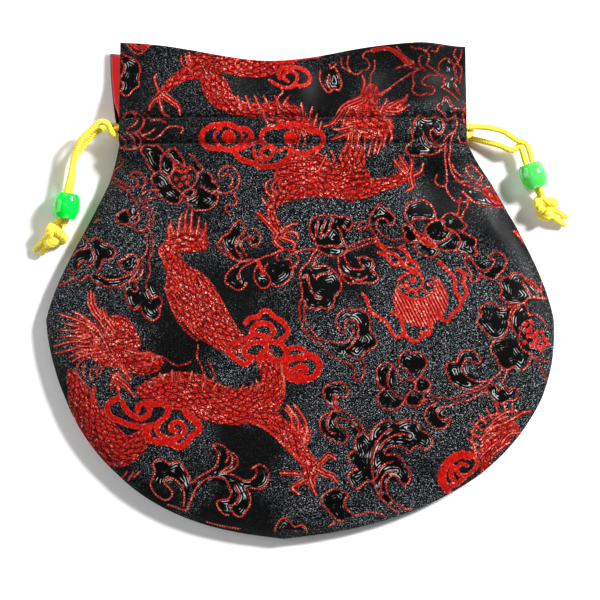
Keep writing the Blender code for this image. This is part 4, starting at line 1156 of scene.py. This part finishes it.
def lane_height(x, y, front):
    """Height of a cord's middle inside the casing."""
    if front:
        return float(front_height(x, y)) - BROCADE - CLOTH_GAP / 2 - CORD_ROOM / 2
    return BROCADE + CLOTH_GAP / 2 + CORD_ROOM / 2


def inside_run(way, y_front, y_back):
    """A cord's way through the front casing, round the far end of the neck and back."""
    x = lean(y_front) - way * NECK_WIDTH / 2
    high, low = lane_height(x, y_front, True), lane_height(x, y_back, False)
    turn = [
        (x - way * out, y_front + (y_back - y_front) * share, high + (low - high) * share)
        for share, out in ((0.13, 0.0007), (0.5, 0.0016), (0.87, 0.0007))
    ]
    return lane(way, y_front, True) + turn + lane(way, y_back, False)[::-1]


def left_cord():
    """The left cord's route: (strand from its knot, run inside the pouch, strand to its knot)."""
    first = [
        strand_at_knot("left", 20),
        strand_in_bead("left", -0.0030, 30),
        strand_in_bead("left", 0.0040, 50),
        strand_in_bead("left", 0.0090, 75),
        strand_in_bead("left", STRAIGHT["left"], 80),
        (-0.0611, 0.0418, 0.0056),
        (-0.0582, 0.0447, 0.0062),
        (-0.0556, 0.0468, 0.0068),
        (-0.0536, 0.0462, 0.0070),
        (-0.0526, 0.0440, 0.0062),
        (-0.0509, 0.0429, 0.0054),
    ]
    last = [
        (-0.0506, 0.0456, 0.0017),
        (-0.0532, 0.0458, 0.0026),
        (-0.0560, 0.0446, 0.0040),
        (-0.0592, 0.0418, 0.0039),
        strand_in_bead("left", STRAIGHT["left"], 260),
        strand_in_bead("left", 0.0090, 255),
        strand_in_bead("left", 0.0040, 235),
        strand_in_bead("left", -0.0030, 210),
        strand_at_knot("left", 200),
    ]
    return first, inside_run(-1, Y_CASING - LANE_SPACING / 2, Y_CASING + LANE_SPACING / 2), last


def right_cord():
    """The right cord's route, in the same order."""
    first = [
        strand_at_knot("right", 100),
        strand_in_bead("right", -0.0030, 120),
        strand_in_bead("right", 0.0040, 165),
        strand_in_bead("right", STRAIGHT["right"], 178),
        (0.0604, 0.0418, 0.0049),
        (0.0568, 0.0441, 0.0056),
        (0.0528, 0.0452, 0.0058),
        (0.0488, 0.0455, 0.0054),
    ]
    last = [
        (0.0484, 0.0423, 0.0016),
        (0.0520, 0.0414, 0.0022),
        (0.0556, 0.0404, 0.0032),
        (0.0592, 0.0390, 0.0037),
        strand_in_bead("right", STRAIGHT["right"], -2),
        strand_in_bead("right", 0.0040, -15),
        strand_in_bead("right", -0.0030, -60),
        strand_at_knot("right", -80),
    ]
    return first, inside_run(1, Y_CASING + LANE_SPACING / 2, Y_CASING - LANE_SPACING / 2), last


def rope(name, lines, width, step, around=15, taper=0.0):
    """Twisted cord along one or more lines, as one mesh. taper thins each line's last stretch."""
    points, faces, ply, turn = [], [], [], []
    for line in lines:
        line = [Vector(p) for p in line]
        starts = np.concatenate([[0], np.cumsum([(b - a).length for a, b in zip(line, line[1:])])])
        count = max(4, int(starts[-1] / step))
        at = np.linspace(0, starts[-1], count)
        spine = np.stack([np.interp(at, starts, [p[k] for p in line]) for k in range(3)], 1)
        ahead = np.gradient(spine, axis=0)
        side = Vector((0.3, 0.2, 1))
        base = len(points)
        for k in range(count):
            way = Vector(ahead[k]).normalized()
            side = (side - way * side.dot(way)).normalized()
            other = way.cross(side)
            thin = 1 - taper * smooth(at[k], starts[-1] - 2.5 * width, starts[-1])
            for j in range(around):
                angle = 2 * math.pi * j / around
                twist = angle - 2 * math.pi * at[k] / PLY_TURN
                crown = abs(math.cos(PLIES * twist / 2))
                radius = width / 2 * (PLY_GROOVE + PLY_CROWN * crown**PLY_ROUNDNESS) * thin
                offset = (side * math.cos(angle) + other * math.sin(angle)) * radius
                points.append(Vector(spine[k]) + offset)
                ply.append(crown)
                turn.append(PLIES * twist / (2 * math.pi) * 0.5)
        for k in range(count - 1):
            for j in range(around):
                a, b = base + k * around + j, base + k * around + (j + 1) % around
                faces.append((a, b, b + around, a + around))
        faces.append([base + j for j in range(around)][::-1])
        faces.append([base + (count - 1) * around + j for j in range(around)])
    mesh = bpy.data.meshes.new(name)
    mesh.from_pydata([tuple(p) for p in points], [], faces)
    mesh.shade_smooth()
    obj = bpy.data.objects.new(name, mesh)
    bpy.context.scene.collection.objects.link(obj)
    keep(obj, "ply", ply)
    keep(obj, "turn", turn)
    return obj


def knot_lines(side):
    """The turns of an overhand knot, and its two short ends."""
    middle, way = knot_place(side)
    level = Vector((0, 0, 1)).cross(way).normalized()
    up = way.cross(level)
    turns = []
    for k in range(KNOT_STEPS + 1):
        t = 2 * math.pi * k / KNOT_STEPS
        a, b = math.sin(t) + 2 * math.sin(2 * t), math.cos(t) - 2 * math.cos(2 * t)
        offset = way * a * KNOT_REACH[0] + level * b * KNOT_REACH[1]
        turns.append(middle + offset - up * math.sin(3 * t) * KNOT_REACH[2])
    tail = Vector((*TAIL_AT[side], CORD / 2 + SURFACE_GAP))
    beside = (tail - middle).cross(Vector((0, 0, 1))).normalized() * TAIL_SPACING / 2
    inner = middle.lerp(tail, 0.12)
    ends = [
        (inner + beside, tail + beside * 1.1),
        (inner - beside, tail - beside * 1.1 + (middle - tail) * 0.10),
    ]
    tails = []
    for start, end in ends:
        bow = Vector((0, 0, 0.0006)) + beside * 0.25
        line, _ = smooth_line([start, start.lerp(end, 0.5) + bow, end], 0.0004)
        tails.append(line)
    return turns, tails


def make_cord(side, body, finish, bead):
    """One drawcord: two free strands, its run inside the pouch, and the knot."""
    first, inside, last = left_cord() if side == "left" else right_cord()
    line, marks = smooth_line(first + inside + last, ROUTE_STEP)
    leave, back = marks[len(first) - 1] + IN_CASING, marks[len(first) + len(inside)] - IN_CASING
    turns, tails = knot_lines(side)
    heart = turns[0].lerp(turns[KNOT_STEPS // 2], 0.5)
    beside = [p + (p - heart).normalized() * 0.0002 for p in turns]
    knot = rope("tied_knot_" + side, [beside], KNOT_ROPE, step=0.00020, around=24)
    ends = rope("knot_ends_" + side, tails, 1.06 * CORD, step=0.00022, taper=0.12)
    strands = {"upper": line[: leave + 1][::-1], "lower": line[back:]}
    hidden = rope("casing_cord_" + side, [line[leave : back + 1]], CORD, step=0.0008, around=9)
    made = [knot, ends, hidden]
    for where, path in strands.items():
        strand = rope(f"{where}_strand_{side}", [path], CORD, step=0.00020)
        made.append(strand)
    for piece in made:
        piece.data.materials.append(finish)
        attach(piece, body)
        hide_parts("knot_" + side if piece in (knot, ends) else "drawcord_" + side)


def cut(bead, operation, radius, length):
    """Keeps or takes away what lies inside a cylinder along the bead's hole."""
    bpy.ops.object.select_all(action="DESELECT")
    bpy.ops.mesh.primitive_cylinder_add(vertices=72, radius=radius, depth=length)
    tool = bpy.context.object
    bpy.context.view_layer.objects.active = bead
    modifier = bead.modifiers.new("cut", "BOOLEAN")
    modifier.operation, modifier.object = operation, tool
    bpy.ops.object.modifier_apply(modifier="cut")
    bpy.data.meshes.remove(tool.data)


def make_bead(side, body, finish):
    """A barrel bead: a long ball with its ends cut off and a hole through it."""
    middle, way = bead_place(side)
    bpy.ops.object.select_all(action="DESELECT")
    bpy.ops.mesh.primitive_uv_sphere_add(segments=72, ring_count=48, radius=BEAD_WIDTH / 2)
    bead = bpy.context.object
    bead.name = bead.data.name = "barrel_bead_" + side
    bpy.ops.object.mode_set(mode="EDIT")
    bpy.ops.mesh.select_all(action="SELECT")
    bpy.ops.transform.resize(value=(1, 1, BEAD_FULLNESS))
    bpy.ops.object.mode_set(mode="OBJECT")
    cut(bead, "INTERSECT", BEAD_WIDTH, BEAD_LENGTH)
    cut(bead, "DIFFERENCE", BEAD_END_WIDTH - BEAD_WIDTH / 2, 2 * BEAD_LENGTH)
    edge = bead.modifiers.new("edge", "BEVEL")
    edge.width, edge.segments, edge.limit_method = BEAD_EDGE, 4, "ANGLE"
    bpy.ops.object.modifier_apply(modifier="edge")
    bpy.ops.object.shade_smooth()
    place = Matrix.Translation(middle) @ way.to_track_quat("Z", "Y").to_matrix().to_4x4()
    bead.data.transform(place)
    bead.data.materials.append(finish)
    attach(bead, body)
    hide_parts("bead_" + side)
    return bead


def make_panels():
    """The two brocade panels and the two linings."""
    brocade, satin = brocade_finish(), lining_finish()
    # How many rows in the header, casing, shoulders and bottom, and how many columns.
    fine, plain = ((46, 16, 104, 138), 288), ((36, 14, 60, 70), 130)
    sheets = [
        ("front_brocade", "front_panel", fine, False, 0.0, front_face, HEM, True),
        ("back_brocade", "back_panel", plain, True, 0.0, back_height, HEM, False),
        ("front_satin", "front_lining", plain, False, LINING_INSET, front_lining_face, LINING_HEM, False),
        ("back_satin", "back_lining", plain, True, LINING_INSET, back_lining_face, LINING_HEM, True),
    ]
    for name, node, size, back, inset, face, hem, faces_up in sheets:
        x, y = panel_grid(*size, back=back, inset=inset)
        obj, source = cloth(name, x, y, face(x, y), hem, faces_up)
        is_brocade = hem is HEM
        if is_brocade:
            weave = Weave(-x if back else x, y)
            weave.weave_all()
            for value in ("red", "along", "across", "kind", "leaf"):
                keep(obj, value, getattr(weave, value)[source])
        obj.data.materials.append(brocade if is_brocade else satin)
        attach(obj, "pouch")
        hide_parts(node)


def make_stitches():
    """Two rows of short black stitches across the front, and two across the back."""
    thread = Finish("black_thread")
    colour = thread.mix(thread.noise(3000), (0.004, 0.004, 0.005), (0.03, 0.03, 0.034))
    thread.surface(Base_Color=colour, Roughness=0.5)
    thread.surface(Normal=thread.bump(thread.noise(5000), SCUFF_HEIGHT, 0.6))
    for name, front in (("front_stitches", True), ("back_stitches", False)):
        lines = []
        for y in (Y_LOWER_ROW, Y_UPPER_ROW):
            reach = float(half_width(y)) - ROW_END_GAP
            count = int(2 * reach / STITCH_PITCH)
            for k in range(count):
                x = float(lean(y)) - reach + (k + 0.5) * STITCH_PITCH
                spots = np.array(STITCH_SPOTS) + x
                if front:
                    z = front_face(spots, np.full_like(spots, y)) + np.array(FRONT_STITCH_HEIGHTS)
                else:
                    z = BACK_STITCH_HEIGHTS
                lines.append([Vector((a, y, b)) for a, b in zip(spots, z)])
        obj = rope(name, lines, STITCH_THREAD, step=0.00035, around=6)
        obj.data.materials.append(thread.material)
        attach(obj, "pouch")


def make_view():
    """The camera straight above, and the paper that the pouch lies on."""
    camera = bpy.data.objects.new("camera", bpy.data.cameras.new("camera"))
    bpy.context.scene.collection.objects.link(camera)
    camera.location = (*VIEW_MIDDLE, VIEW_HEIGHT)
    camera.data.sensor_width = SENSOR
    camera.data.lens = SENSOR * VIEW_HEIGHT / VIEW_WIDTH
    camera.data.clip_end = 10
    bpy.context.scene.camera = camera
    bpy.ops.object.select_all(action="DESELECT")
    bpy.ops.mesh.primitive_plane_add(size=6)
    floor = bpy.context.object
    floor.name = "paper"
    floor.data.materials.append(floor_finish())


def add_light(name, way, distance, size, power):
    """A square soft light that shines at the pouch from a direction."""
    light = bpy.data.objects.new(name, bpy.data.lights.new(name, "AREA"))
    bpy.context.scene.collection.objects.link(light)
    light.data.size = size
    light.data.energy = power
    way = Vector(way).normalized()
    light.location = way * distance
    light.rotation_euler = way.to_track_quat("Z", "Y").to_euler()


def light_up():
    """A window at the upper right, a weak ceiling lamp, soft light from the sides, a white room."""
    for lamp in LAMPS:
        add_light(*lamp)
    world = bpy.data.worlds.new("white_room")
    bpy.context.scene.world = world
    world.use_nodes = True
    nodes, links = world.node_tree.nodes, world.node_tree.links
    seen = nodes.new("ShaderNodeLightPath").outputs["Is Camera Ray"]
    strength = nodes.new("ShaderNodeMapRange")
    strength.inputs["To Min"].default_value = ROOM_LIGHT
    strength.inputs["To Max"].default_value = 1.0
    links.new(seen, strength.inputs["Value"])
    nodes["Background"].inputs["Color"].default_value = (1, 1, 1, 1)
    links.new(strength.outputs[0], nodes["Background"].inputs["Strength"])
    bpy.context.scene.view_settings.view_transform = "Standard"


yellow = cord_finish()
make_view()
green = bead_finish("green_bead", (0.0, 0.66, 0.035), (0.004, 0.80, 0.07), 0.0)
clear_green = bead_finish("clear_green_bead", (0.10, 0.90, 0.14), (0.22, 0.97, 0.25), 0.55)
make_cord("left", "pouch", yellow, make_bead("left", "left_bead", green))
make_cord("right", "pouch", yellow, make_bead("right", "right_bead", clear_green))
make_panels()
make_stitches()
light_up()
